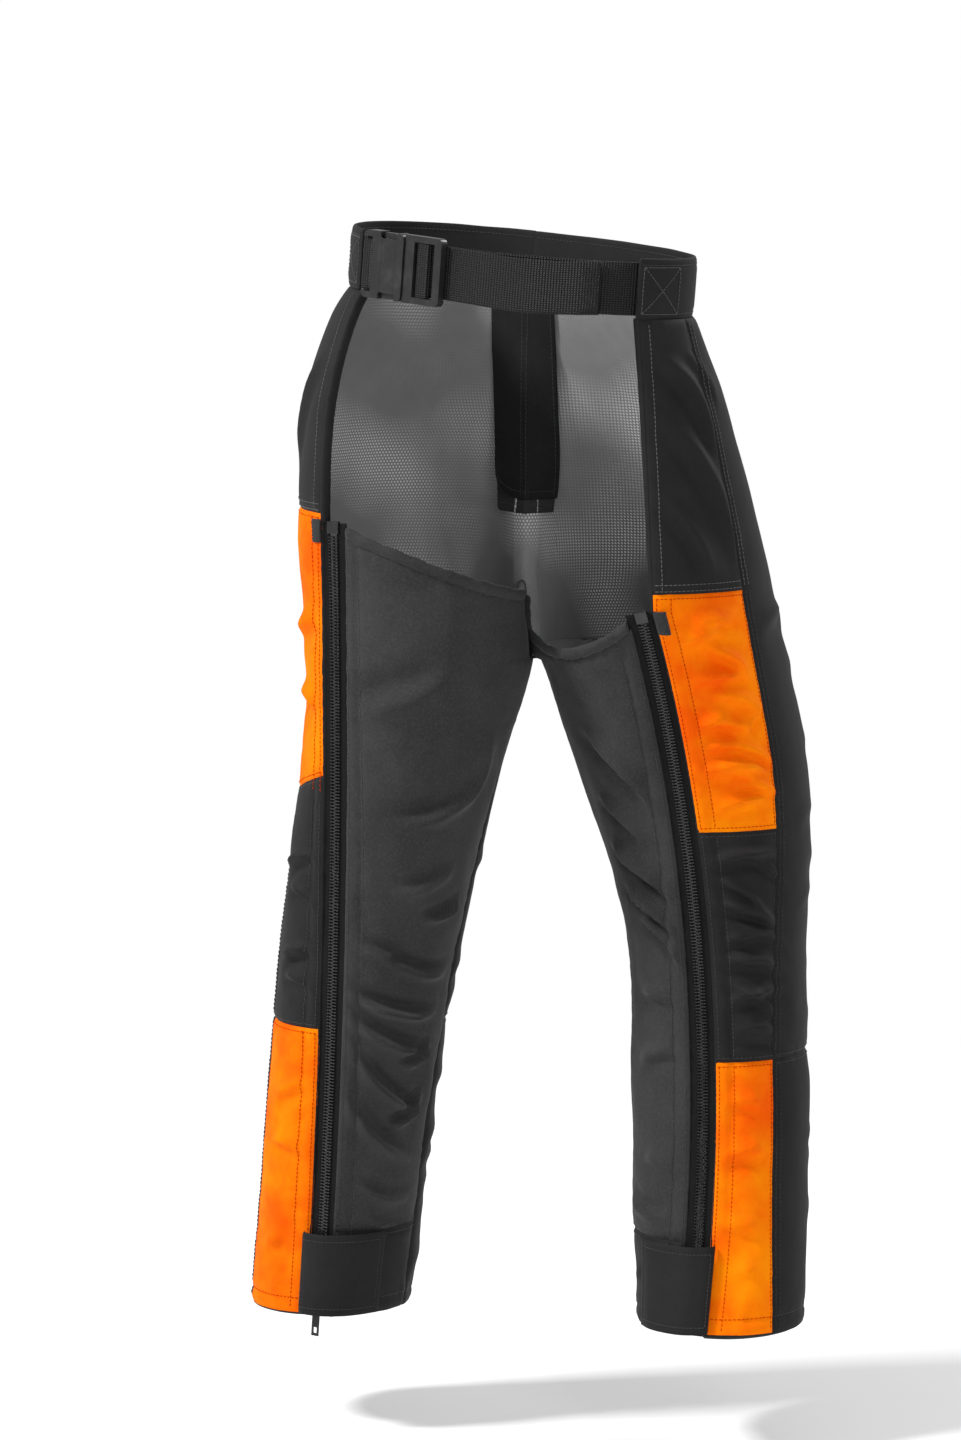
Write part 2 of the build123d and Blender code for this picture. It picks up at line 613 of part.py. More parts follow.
# The right-hand strap comes from inside the waistband, passes behind the clip, goes round its
# middle bar and comes back over itself as a loose tail with a folded end.
inner_psis = [RIGHT.opening + 9, RIGHT.opening - 2, 46, 34, 22, 11]
tail_psis = [11, 22, 32, TAIL_END]
fold_psis = [TAIL_END, TAIL_END - 3.5, TAIL_END - 7]
with BuildPart() as belt_webbing_right:
    with BuildSketch(waist_plane(-WEBBING_WIDTH / 2)):
        with BuildLine():
            Spline(
                *[at_waist(1, psi, STRAP_INSET) for psi in inner_psis],
                at_buckle(46, -7.5),
                at_buckle(34, -7.5),
                tangents=[along_waist(1, inner_psis[0]) * -1, LENGTHWISE * -1],
            )
            FilletPolyline(
                at_buckle(34, -7.5),
                at_buckle(18.5, -7.5),
                at_buckle(18.5, 4.3),
                at_buckle(31, 4.3),
                at_buckle(35, -4.6),
                at_buckle(48, -4.6),
                radius=1.6,
            )
            tail = Spline(
                at_buckle(48, -4.6),
                *[at_waist(1, psi, TAIL_INSET) for psi in tail_psis],
                tangents=[LENGTHWISE, along_waist(1, TAIL_END)],
            )
            fold = Spline(*[at_waist(1, psi, TAIL_INSET + 1.85) for psi in fold_psis])
            ThreePointArc(tail @ 1, at_waist(1, TAIL_END + 0.35, TAIL_INSET + 0.92), fold @ 0)
        trace(line_width=WEBBING_THICKNESS)
    extrude(amount=WEBBING_WIDTH)
finish(belt_webbing_right, "belt_webbing_right")

# The left-hand strap goes round the socket's bar and is sewn back on itself.
left_psis = [LEFT.opening + 13, LEFT.opening + 7, LEFT.opening + 2]
with BuildPart() as belt_webbing_left:
    with BuildSketch(waist_plane(-WEBBING_WIDTH / 2)):
        with BuildLine():
            Spline(
                *[at_waist(-1, psi, STRAP_INSET) for psi in left_psis],
                at_buckle(-62, -16.5),
                at_buckle(-53, -3.4),
                tangents=[along_waist(-1, left_psis[0]) * -1, LENGTHWISE * 9 + OUTWARD * 13.1],
            )
            FilletPolyline(
                at_buckle(-53, -3.4),
                at_buckle(-49, 2.4),
                at_buckle(-39.6, 2.4),
                at_buckle(-39.6, -2.4),
                at_buckle(-49.3, -2.4),
                at_buckle(-57, -13.6),
                radius=1.2,
            )
        trace(line_width=WEBBING_THICKNESS)
    extrude(amount=WEBBING_WIDTH)
finish(belt_webbing_left, "belt_webbing_left")
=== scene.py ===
import math
from dataclasses import dataclass

import bpy
import numpy as np
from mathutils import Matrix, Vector


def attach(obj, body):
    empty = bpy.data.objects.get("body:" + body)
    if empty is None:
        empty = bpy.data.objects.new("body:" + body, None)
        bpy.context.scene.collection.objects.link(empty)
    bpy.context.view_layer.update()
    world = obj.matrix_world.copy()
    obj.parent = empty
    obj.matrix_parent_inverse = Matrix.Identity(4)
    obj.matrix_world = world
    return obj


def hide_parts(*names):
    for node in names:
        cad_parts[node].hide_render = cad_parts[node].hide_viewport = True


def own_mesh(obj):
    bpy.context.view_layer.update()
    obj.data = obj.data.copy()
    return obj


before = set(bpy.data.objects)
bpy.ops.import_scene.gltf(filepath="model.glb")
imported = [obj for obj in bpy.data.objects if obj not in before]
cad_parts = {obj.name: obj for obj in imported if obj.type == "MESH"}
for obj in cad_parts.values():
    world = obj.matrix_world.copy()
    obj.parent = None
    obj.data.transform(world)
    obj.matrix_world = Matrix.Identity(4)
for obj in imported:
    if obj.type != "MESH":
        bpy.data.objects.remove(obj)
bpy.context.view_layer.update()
MM = 0.001
rng = np.random.default_rng(7)

# ---------------------------------------------------------------- the shape of the garment, in millimetres
# A place on a leg is a level z and a u round the leg: 0 at the zip, 1 at the side seam, 2 and -1 at the
# front seam and, below the crotch, the inseam. The angle psi of the waist is 0 behind and 180 in front.
WAIST_A, BACK_B, FRONT_B = 172.0, 118.0, 100.0
ROLL = math.radians(4.4)
TOP, CROTCH, CUFF_TOP, HEM = -28.0, -370.0, -922.0, -1005.0
HEM_SEAM = HEM + 13
ZIP_EDGE = 13.0
STRIP = ZIP_EDGE + 15
SIDE_AT_WAIST = 86.0
CENTRE_SHIFT = -34.0
SIDE_SEAM = [(-235, 77), (-530, 67), (-750, 61), (HEM, 61)]
CENTRE_X = [(-28, -34), (-110, -36), (-190, -32), (-250, -24), (-310, -15), (CROTCH, -4)]
CENTRE_Y = [(-28, 100), (-110, 101), (-190, 86), (-250, 60), (-310, 38), (CROTCH, 26)]
BETWEEN = np.array([0.91, 0.41]) / np.hypot(0.91, 0.41)
FLAP_ROOT, FLAP_TOP, FLAP_FOOT = 0.06, -924.0, -1003.0


def unit(v):
    """Vectors brought to length 1."""
    return v / np.linalg.norm(v, axis=-1, keepdims=True)


def lengths(line):
    """Distance along a line of points, from its start."""
    return np.concatenate([[0], np.cumsum(np.linalg.norm(np.diff(line, axis=0), axis=1))])


def pair(a, b):
    """Two arrays that broadcast together, as the two coordinates of points."""
    return np.stack(np.broadcast_arrays(a, b), -1)


def hermite(t, p, q, slope_p, slope_q):
    """Cubic from p to q, with its slopes given over the whole span."""
    return (
        p * (2 * t**3 - 3 * t**2 + 1)
        + slope_p * (t**3 - 2 * t**2 + t)
        + q * (3 * t**2 - 2 * t**3)
        + slope_q * (t**3 - t**2)
    )


def blend(at, i, j, f, g):
    """Bilinear mix of at(i, j) and its three neighbours."""
    return (
        at(i, j) * (1 - f) * (1 - g)
        + at(i + 1, j) * f * (1 - g)
        + at(i, j + 1) * (1 - f) * g
        + at(i + 1, j + 1) * f * g
    )


def smooth(knots, z):
    """Cubic curve through (level, value) knots listed from the top down, for an array of levels."""
    zs, vs = np.array(knots, float).T
    last = len(zs) - 1
    z = np.clip(np.asarray(z, float), zs[-1], zs[0])
    before, after = np.maximum(np.arange(last + 1) - 1, 0), np.minimum(np.arange(last + 1) + 1, last)
    slope = (vs[after] - vs[before]) / (zs[after] - zs[before])
    i = np.clip(np.searchsorted(-zs, -z, side="right") - 1, 0, last - 1)
    span = zs[i + 1] - zs[i]
    return hermite((z - zs[i]) / span, vs[i], vs[i + 1], slope[i] * span, slope[i + 1] * span)


def centre_front(z):
    """(x, y) of the front seam."""
    return np.stack([smooth(CENTRE_X, z), smooth(CENTRE_Y, z)], -1)


def waist_point(sign, psi, shift=0.0):
    """Place and inward normal on the waist's outline, its front pushed sideways by shift."""
    a = np.radians(psi)
    depth = np.where(psi < 90, BACK_B, FRONT_B)
    x, y = sign * WAIST_A * np.sin(a), -depth * np.cos(a)
    inward = unit(np.stack([-x / WAIST_A**2, -y / depth**2], -1))
    x = x + shift * np.clip((psi - 90) / 90, 0, None) ** 2
    return np.stack([x, y], -1), inward


def tilted(x, z):
    """The level of a point once the waistband's tilt, which fades out below it, is taken in."""
    fade = np.clip((z + 130) / (130 + TOP), 0, 1)
    return z - x * math.tan(ROLL) * fade * fade * (3 - 2 * fade)


@dataclass
class Leg:
    """A tube of cloth round a zip that lies along an arc, eased into the waist at its top."""

    side: str
    zip_points: list  # top, middle and foot
    facing: float  # where the zip faces, in degrees from straight back
    centre_x: list  # of the tube, by level
    radius: list
    inseam: list  # its direction by level, in degrees
    thigh_high: float  # top of the hi-vis thigh panel
    tube_top: float  # top of the zip, where the tube ends
    thigh_low: float  # foot of the hi-vis thigh panel at the side seam
    thigh_rise: float  # how far that foot rises towards the zip
    knee_low: float
    back_cut: tuple  # plane of the back panel's top: its level and its slopes along x and y
    opening: float  # psi of the waistband's end
    ease: float  # how soon the tube takes over from the waist
    slider_rest: float  # from the slider to the foot of the zip

    def __post_init__(self):
        self.sign = -1 if self.side == "left" else 1
        self.out = self.direction(self.facing)
        a, b, c = (np.array(p, float) for p in self.zip_points)
        chord, rise = c - a, b - a
        axis = unit(np.cross(rise, chord))
        length = np.linalg.norm(chord)
        along = chord / length
        across = np.cross(along, axis)
        half, x, y = length / 2, rise @ along, rise @ across
        self.zip_centre = a + along * half + across * ((x * x + y * y - 2 * x * half) / (2 * y))
        self.arm = a - self.zip_centre
        self.zip_radius = np.linalg.norm(self.arm)
        self.axis = -axis if np.cross(self.arm, chord) @ axis < 0 else axis
        self.sweep = 2 * math.asin(half / self.zip_radius)
        self.zip_track = self.zip_point(np.linspace(0, self.sweep, 400))
        # table of girths: how far round the leg each place is from the zip
        self.tz = np.arange(TOP, HEM - 4, -5.0)
        spans = np.linspace(-1, -1e-6, 41), np.linspace(0, 1, 41), np.linspace(1, 2, 61)[1:]
        self.tu = np.concatenate(spans)
        steps = np.linalg.norm(np.diff(self.flat_skin(self.tz[:, None], self.tu[None, :])[0], axis=1), axis=2)
        run = np.concatenate([np.zeros((len(self.tz), 1)), np.cumsum(steps, 1)], 1)
        self.ts = run - run[:, 41:42] + ZIP_EDGE
        self.ts[:, :41] = run[:, :41] - run[:, 40:41] - ZIP_EDGE

    def zip_point(self, turn):
        """Point of the zip that far round its arc from the top."""
        turn = np.asarray(turn, float)[..., None]
        return self.zip_centre + self.arm * np.cos(turn) + np.cross(self.axis, self.arm) * np.sin(turn)

    def zip_at(self, z):
        """(x, y) of the zip at a level."""
        track = self.zip_track
        return np.stack([np.interp(-np.asarray(z, float), -track[:, 2], track[:, k]) for k in (0, 1)], -1)

    def direction(self, theta):
        """Unit (x, y) that far outwards from straight back, in degrees."""
        t = np.radians(theta)
        return np.stack([self.sign * np.sin(t), -np.cos(t)], -1)

    def thigh_foot(self, u):
        """Level of the foot of the hi-vis thigh panel."""
        return self.thigh_low + self.thigh_rise * (1 - np.asarray(u, float))

    def tube(self, z):
        """Middle and radius of the tube, which passes through the zip."""
        z = np.minimum(z, self.tube_top)
        zipped, cx, r = self.zip_at(z), smooth(self.centre_x, z), smooth(self.radius, z)
        return np.stack([cx, zipped[..., 1] + np.sqrt(r * r - (zipped[..., 0] - cx) ** 2)], -1), r

    def tube_skin(self, z, u):
        """Place and inward direction on the tube, joined to the zip and to the front seam."""
        centre, r = self.tube(z)
        zip_xy = self.zip_at(z)
        zipped = np.degrees(np.arcsin(self.sign * (zip_xy[..., 0] - centre[..., 0]) / r))
        step = np.degrees(ZIP_EDGE / r)
        side, medial = smooth(SIDE_SEAM, z), smooth(self.inseam, z)
        end_inward = -self.direction(medial)
        end = np.where((z >= CROTCH)[..., None], centre_front(z), centre - end_inward * r[..., None])
        arm = end - centre
        angle = np.degrees(np.arctan2(self.sign * arm[..., 0], -arm[..., 1])) % 360
        across = np.array([-self.sign * self.out[1], self.sign * self.out[0]]) * ZIP_EDGE
        front, back = u >= 1, u < 0
        behind = zipped - step + (zipped - step - angle + 360) * u
        beside = zipped + step + (side - zipped - step) * u
        theta = np.where(front, side + (angle - side) * (u - 1), np.where(back, behind, beside))
        near_end = np.where(front, (u - 1) ** 3, np.where(back, (-u) ** 3, 0))
        near_zip = np.where(front, 0, np.where(back, (1 + u) ** 3, (1 - u) ** 3))
        way = np.where(back, -1.0, 1.0)
        out = self.direction(theta)
        place = centre + out * r[..., None]
        zip_edge = zip_xy + across * way[..., None]
        miss_zip = zip_edge - (centre + self.direction(zipped + step * way) * r[..., None])
        miss_end = end - (centre + self.direction(angle) * r[..., None])
        place = place + miss_zip * near_zip[..., None] + miss_end * near_end[..., None]
        # above the crotch neither leg crosses the plane between them
        past = (place - centre_front(z)) @ BETWEEN * self.sign - np.where(back, 1.6, 0.3)
        past = np.where((z >= CROTCH) & (past < 0), past, 0)
        place = place - BETWEEN * (past * self.sign)[..., None]
        inward = (
            -out * (1 - near_zip - near_end)[..., None]
            - self.out * near_zip[..., None]
            + end_inward * near_end[..., None]
        )
        return place, unit(inward)

    def flat_skin(self, z, u):
        """(x, y) and inward normal for arrays of levels and places round the leg."""
        z, u = np.broadcast_arrays(np.asarray(z, float), np.asarray(u, float))
        place, inward = self.tube_skin(np.minimum(z, self.tube_top), u)
        ahead = SIDE_AT_WAIST + (180 - SIDE_AT_WAIST) * (u - 1)
        beside = self.opening + (SIDE_AT_WAIST - self.opening) * np.clip(u, 0, 1)
        high, high_inward = waist_point(self.sign, np.where(u >= 1, ahead, beside), CENTRE_SHIFT)
        t = np.clip((TOP - z) / (TOP - self.tube_top), 0, 1)
        w = (1 - (1 - t) ** self.ease)[..., None]
        waist_end = waist_point(self.sign, np.full_like(z, 180.0), CENTRE_SHIFT)[0]
        tube_end = self.tube_skin(np.full_like(z, self.tube_top), np.full_like(z, 2.0))[0]
        pull = np.where(u > 1, (u - 1) ** 3, 0)[..., None]
        eased = high * (1 - w) + place * w + (centre_front(z) - (waist_end * (1 - w) + tube_end * w)) * pull
        eased_inward = unit(high_inward * (1 - w) + inward * w)
        above = (z > self.tube_top)[..., None]
        return np.where(above, eased, place), np.where(above, eased_inward, inward)

    def skin(self, z, u):
        """Points in space and outward normals, the waist's tilt included."""
        z, u = np.broadcast_arrays(np.asarray(z, float), np.asarray(u, float))
        xy, _ = self.flat_skin(z, u)
        du, dz = 0.004, 1.0
        lo_u = np.where(u < 0, np.maximum(u - du, -1), np.where(u - du < 0, 0, u - du))
        hi_u = np.where(u < 0, np.minimum(u + du, -1e-6), np.minimum(u + du, 2))
        lo_z, hi_z = np.maximum(z - dz, HEM), np.minimum(z + dz, TOP)
        across = self.flat_skin(z, hi_u)[0] - self.flat_skin(z, lo_u)[0]
        down = self.flat_skin(hi_z, u)[0] - self.flat_skin(lo_z, u)[0]
        across = np.concatenate([across, np.zeros_like(z)[..., None]], -1)
        down = np.concatenate([down, (hi_z - lo_z)[..., None]], -1)
        points = np.concatenate([xy, tilted(xy[..., 0], z)[..., None]], -1)
        return points, unit(np.cross(across, down) * self.sign)

    def girth(self, z, u):
        """Distance round the leg from the middle of its zip, negative across the back panel."""
        z, u = np.broadcast_arrays(np.asarray(z, float), np.asarray(u, float))
        row = np.clip((TOP - z) / 5.0, 0, len(self.tz) - 1.001)
        col = np.interp(u, self.tu, np.arange(len(self.tu)))
        k, c = row.astype(int), np.clip(col.astype(int), 0, len(self.tu) - 2)
        return blend(lambda a, b: self.ts[a, b], k, c, row - k, col - c)

    def place_at(self, z, s):
        """The u at which the girth is s, for one level each."""
        z, s = np.broadcast_arrays(np.asarray(z, float), np.asarray(s, float))
        out = np.empty(z.shape)
        for i in np.ndindex(z.shape):
            row = self.ts[int(np.clip(round((TOP - z[i]) / 5.0), 0, len(self.tz) - 1))]
            half = slice(41, None) if s[i] > 0 else slice(None, 41)
            out[i] = np.interp(s[i], row[half], self.tu[half])
        return out


LEFT = Leg(
    side="left",
    zip_points=[(-143, -122, -235), (-144, -120, -620), (-163, -118, HEM)],
    facing=3,
    centre_x=[(-235, -100), (-370, -97), (-500, -119), (-640, -145), (-790, -163), (HEM, -185)],
    radius=[(-235, 118), (-370, 108), (-480, 95), (-640, 87), (-820, 80), (HEM, 77)],
    inseam=[(-235, 229), (CROTCH, 245), (-600, 257), (HEM, 268)],
    thigh_high=-228, tube_top=-235, thigh_low=-500, thigh_rise=21.0, knee_low=-725,
    back_cut=(-301.0, -0.356, -0.126), opening=53, ease=3.0, slider_rest=11.0,
)
RIGHT = Leg(
    side="right",
    zip_points=[(146, -55, -315), (178, 15, -665), (195, -44, HEM)],
    facing=13,
    centre_x=[(-315, 104), (-370, 113), (-500, 137), (-620, 158), (-760, 167), (-900, 178), (HEM, 194)],
    radius=[(-315, 120), (-370, 117), (-490, 109), (-620, 88), (-710, 83), (-800, 84), (HEM, 80)],
    inseam=[(-315, 289), (CROTCH, 294), (-600, 290), (HEM, 288)],
    thigh_high=-298, tube_top=-315, thigh_low=-530, thigh_rise=0.0, knee_low=-752,
    back_cut=(-351.0, 0.816, 1.47), opening=59, ease=1.15, slider_rest=38.0,
)
LEGS = (LEFT, RIGHT)

# ---------------------------------------------------------------- folds and wrinkles
LATTICE = rng.random((64, 64, 4))


def value_noise(x, y, layer=0):
    """Smooth noise from -0.5 to 0.5."""
    xi, yi = np.floor(x).astype(int), np.floor(y).astype(int)
    fx, fy = x - xi, y - yi
    fx, fy = fx * fx * (3 - 2 * fx), fy * fy * (3 - 2 * fy)
    return blend(lambda a, b: LATTICE[a % 64, b % 64, layer], xi, yi, fx, fy) - 0.5


# each fold: girth and level where it starts and ends, height, width
FOLDS = {
    "left": [
        (-20, -411, -125, -373, 2.2, 18), (-60, -526, -165, -462, 3.4, 13), (-90, -500, -175, -430, 2.0, 16),
        (-14, -684, -108, -711, 4.2, 7), (-16, -707, -104, -750, 3.6, 8), (-40, -646, -128, -673, 3.0, 8),
        (-20, -738, -98, -811, 3.6, 8), (-16, -786, -90, -857, 3.0, 9), (-85, -617, -135, -600, 2.6, 6),
        (-60, -590, -125, -560, 2.0, 10), (-70, -762, -108, -742, 2.6, 6), (-60, -822, -104, -790, 2.4, 7),
        (-30, -874, -92, -893, 1.8, 8), (22, -560, 70, -575, 2.6, 8), (18, -610, 60, -590, 2.4, 7),
        (20, -650, 66, -662, 2.8, 8), (18, -690, 60, -676, 2.2, 8), (20, -330, 70, -350, 1.8, 13),
        (25, -420, 70, -400, 1.8, 13), (30, -80, 80, -190, 1.6, 12), (16, -780, 66, -800, 1.6, 9),
        (16, -850, 66, -838, 1.8, 10), (16, -930, 66, -944, 1.6, 9), (-40, -905, -110, -930, 1.6, 9),
        (-24, -640, -70, -650, 1.8, 8),
    ],
    "right": [
        (-100, -434, -22, -516, 3.0, 11), (-92, -549, -17, -602, 4.2, 9), (-78, -587, -17, -640, 4.2, 7),
        (-58, -617, -16, -663, 3.4, 7), (-98, -500, -40, -548, 2.4, 9), (-70, -690, -18, -702, 1.8, 10),
        (-75, -760, -20, -745, 1.6, 11), (-70, -850, -20, -862, 1.5, 11), (16, -564, 92, -555, 3.4, 8),
        (16, -600, 88, -628, 3.6, 8), (20, -640, 80, -632, 2.4, 7), (16, -657, 92, -668, 3.4, 8),
        (20, -700, 90, -686, 3.2, 8), (30, -722, 84, -730, 2.2, 7), (24, -60, 96, -190, 2.6, 12),
        (28, -130, 110, -285, 2.8, 13), (20, -205, 74, -292, 2.2, 10), (60, -60, 104, -130, 1.8, 9),
        (20, -575, 70, -612, 2.4, 6), (34, -618, 96, -650, 2.2, 6), (22, -676, 80, -716, 2.2, 6),
        (44, -548, 100, -590, 2.0, 6), (26, -730, 90, -742, 1.8, 6), (40, -350, 104, -318, 1.6, 8),
        (22, -440, 70, -410, 1.6, 9), (60, -446, 108, -474, 1.8, 7), (-30, -900, -96, -888, 1.6, 9),
        (-24, -950, -96, -960, 1.4, 9), (22, -350, 90, -338, 1.8, 11), (40, -392, 104, -420, 1.6, 13),
        (18, -470, 95, -488, 2.6, 10), (30, -512, 100, -500, 2.0, 9), (20, -790, 60, -796, 2.0, 10),
        (18, -845, 62, -836, 2.2, 10), (18, -905, 60, -912, 2.0, 11), (18, -955, 60, -948, 1.8, 10),
        (48, -346, 96, -380, 2.6, 9), (26, -387, 98, -382, 2.4, 9), (30, -425, 84, -432, 2.0, 8),
        (74, -436, 106, -408, 2.0, 7), (34, -466, 100, -478, 2.4, 7), (52, -486, 108, -500, 2.2, 6),
        (44, -330, 86, -322, 1.8, 9), (30, -452, 70, -446, 1.6, 7),
    ],
}
# the front and the inside of each leg can't be seen in the photo, so their folds are random
for side, high in (("left", -240), ("right", -300)):
    for _ in range(60):
        s0, z0 = rng.uniform(110, 330), rng.uniform(-960, high)
        run_s, run_z = rng.uniform(40, 110), rng.uniform(-28, 28)
        FOLDS[side].append((s0, z0, s0 + run_s, z0 + run_z, rng.uniform(0.5, 1.3), rng.uniform(9, 18)))


def folds(leg, s, z):
    """How far folds lift the cloth at girth s and level z.

    Each is a bowed ridge, steeper on one side, with a groove along it.
    """
    lift = np.zeros(np.broadcast(s, z).shape)
    for s0, z0, s1, z1, height, width in FOLDS[leg.side]:
        ds, dz = s1 - s0, z1 - z0
        length = math.hypot(ds, dz)
        t = ((s - s0) * ds + (z - z0) * dz) / length**2
        bow = 0.10 * length * (t - t * t) * 4
        d = (((s - s0) * -dz + (z - z0) * ds) / length - bow) * 1.25
        ends = np.clip((1.12 - np.abs(2 * t - 1)) / 0.85, 0, 1)
        ends = ends * ends * (3 - 2 * ends)
        ridge = np.exp(-np.where(d > 0, (d / width) ** 2, (d / (0.62 * width)) ** 2))
        groove = 0.55 * np.exp(-(((d + width * 1.45) / (width * 0.9)) ** 2))
        lift += 2.9 * height * ends * (ridge - groove)
    return lift


def crinkle(leg, s, z):
    """Shallow unevenness of the cloth at three scales."""
    q = 0 if leg is LEFT else 17
    coarse = value_noise(s / 46 + q, z / 60, 0) * 3.2
    middle = value_noise(s / 17 + q, z / 26 + 5, 1) * 1.3
    return coarse + middle + value_noise(s / 7 + q, z / 9, 2) * 0.22


# ---------------------------------------------------------------- mesh helpers
def new_object(name, verts, faces, body="garment", material=None, uvs=None, shade=True):
    """A mesh from points in millimetres, riding on a body, with the UV map "flat"."""
    mesh = bpy.data.meshes.new(name)
    mesh.from_pydata((np.asarray(verts) * MM).tolist(), [], faces)
    if uvs is not None:
        index = np.empty(len(mesh.loops), int)
        mesh.loops.foreach_get("vertex_index", index)
        flat = (np.asarray(uvs) * MM)[index].astype(np.float32).ravel()
        mesh.uv_layers.new(name="flat").data.foreach_set("uv", flat)
    mesh.validate()
    if shade:
        mesh.shade_smooth()
    obj = bpy.data.objects.new(name, mesh)
    bpy.context.scene.collection.objects.link(obj)
    mesh.materials.append(material)
    if body:
        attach(obj, body)
    return obj


def quads(ny, nx, flip=False, offset=0):
    """Faces of a grid of points."""
    i = np.arange(ny - 1)[:, None] * nx + np.arange(nx - 1)[None, :] + offset
    q = np.stack([i, i + 1, i + nx + 1, i + nx], -1).reshape(-1, 4)
    return (q[:, ::-1] if flip else q).tolist()


def wrapped(rings, around):
    """Faces of a tube of rings, each with that many points around."""
    i, j = np.arange(rings - 1)[:, None] * around, np.arange(around)[None, :]
    k = (j + 1) % around
    return np.stack([i + j, i + k, i + around + k, i + around + j], -1).reshape(-1, 4)


def shell(name, outer, inner, uv, material, body="garment", flip=False, edge=3):
    """A closed piece of cloth between two grids of points, its edges rounded over."""
    ny, nx = outer.shape[:2]
    n = ny * nx
    ids = np.arange(n).reshape(ny, nx)
    rim = np.concatenate([ids[0], ids[1:, -1], ids[-1, -2::-1], ids[-2:0:-1, 0]])
    middle, away = (outer + inner) / 2, np.zeros(outer.shape)
    away[:, 0] += middle[:, 0] - middle[:, 1]
    away[:, -1] += middle[:, -1] - middle[:, -2]
    away[0] += middle[0] - middle[1]
    away[-1] += middle[-1] - middle[-2]
    away = away.reshape(-1, 3)[rim]
    away /= np.linalg.norm(away, axis=1, keepdims=True) + 1e-9
    top, low, flat = outer.reshape(-1, 3), inner.reshape(-1, 3), uv.reshape(-1, 2)
    mid, half = (top[rim] + low[rim]) / 2, (top[rim] - low[rim]) / 2
    thick = np.linalg.norm(top[rim] - low[rim], axis=1, keepdims=True)
    verts, uvs, rings = [top, low], [flat, flat], [rim]
    for k in range(1, edge):
        a = math.pi * k / edge
        verts.append(mid + half * math.cos(a) + away * (thick * 0.42 * math.sin(a)))
        uvs.append(flat[rim])
        rings.append(np.arange(len(rim)) + 2 * n + (k - 1) * len(rim))
    rings.append(rim + n)
    faces = quads(ny, nx, flip) + quads(ny, nx, not flip, n)
    for a, b in zip(rings, rings[1:]):
        band = np.stack([a, b, np.roll(b, -1), np.roll(a, -1)], -1)
        faces += (band[:, ::-1] if flip else band).tolist()
    return new_object(name, np.concatenate(verts), faces, body, material, np.concatenate(uvs))


# ---------------------------------------------------------------- materials
def rgba(colour):
    """A colour with full alpha."""
    return (*colour, 1.0)


class Paint:
    """A material in the making: its node tree and short ways to add nodes to it."""

    def __init__(self, name):
        self.material = bpy.data.materials.new(name)
        self.material.use_nodes = True
        self.tree = self.material.node_tree
        self.tree.nodes.clear()
        self.output = self.node("OutputMaterial")
        self.bsdf = self.node("BsdfPrincipled")
        self.put(self.output, {"Surface": self.bsdf.outputs["BSDF"]})
        self.where = self.node("TexCoord").outputs["Object"]

    def put(self, node, inputs):
        """Sets inputs of a node to values or links them to sockets."""
        for key, value in inputs.items():
            if isinstance(value, bpy.types.NodeSocket):
                self.tree.links.new(value, node.inputs[key])
            else:
                node.inputs[key].default_value = value

    def node(self, kind, inputs=None, **settings):
        """A new node with its inputs and settings."""
        node = self.tree.nodes.new("ShaderNode" + kind)
        for key, value in settings.items():
            setattr(node, key, value)
        self.put(node, inputs or {})
        return node

    def flat(self):
        """Millimetres of the cloth laid flat, in metres."""
        return self.node("UVMap", uv_map="flat").outputs[0]

    def math(self, operation, a, b=0.0):
        """A sum on numbers."""
        return self.node("Math", {0: a, 1: b}, operation=operation).outputs[0]

    def vector(self, operation, a, b=(0, 0, 0)):
        """A sum on vectors; a length comes out as a number."""
        node = self.node("VectorMath", {0: a, 1: b}, operation=operation)
        return node.outputs["Value" if operation == "LENGTH" else "Vector"]

    def mix(self, factor, a, b, mode="MIX"):
        """Colour a mixed with colour b."""
        return self.node("Mix", {0: factor, 6: a, 7: b}, data_type="RGBA", blend_type=mode).outputs[2]

    def ramp(self, value, low, high):
        """0 to 1 as the value goes from low to high."""
        return self.node("MapRange", {0: value, 1: low, 2: high}).outputs[0]

    def spread(self, value, low, high):
        """low to high as the value goes from 0 to 1."""
        return self.node("MapRange", {0: value, 3: low, 4: high}).outputs[0]

    def noise(self, scale, detail, rough=0.5):
        """Noise in the space of the object."""
        inputs = {"Vector": self.where, "Scale": scale, "Detail": detail, "Roughness": rough}
        return self.node("TexNoise", inputs).outputs["Fac"]

    def wave(self, vector, scale, distortion, direction):
        """Bands across one direction."""
        inputs = {"Vector": vector, "Scale": scale, "Distortion": distortion}
        return self.node("TexWave", inputs, wave_type="BANDS", bands_direction=direction).outputs["Fac"]

    def relief(self, height, strength, distance):
        """Bumps the surface by a height."""
        bump = self.node("Bump", {"Strength": strength, "Distance": distance, "Height": height})
        self.put(self.bsdf, {"Normal": bump.outputs[0]})


WAVE_PER_METRE = 0.314  # a wave texture of this scale repeats once a metre


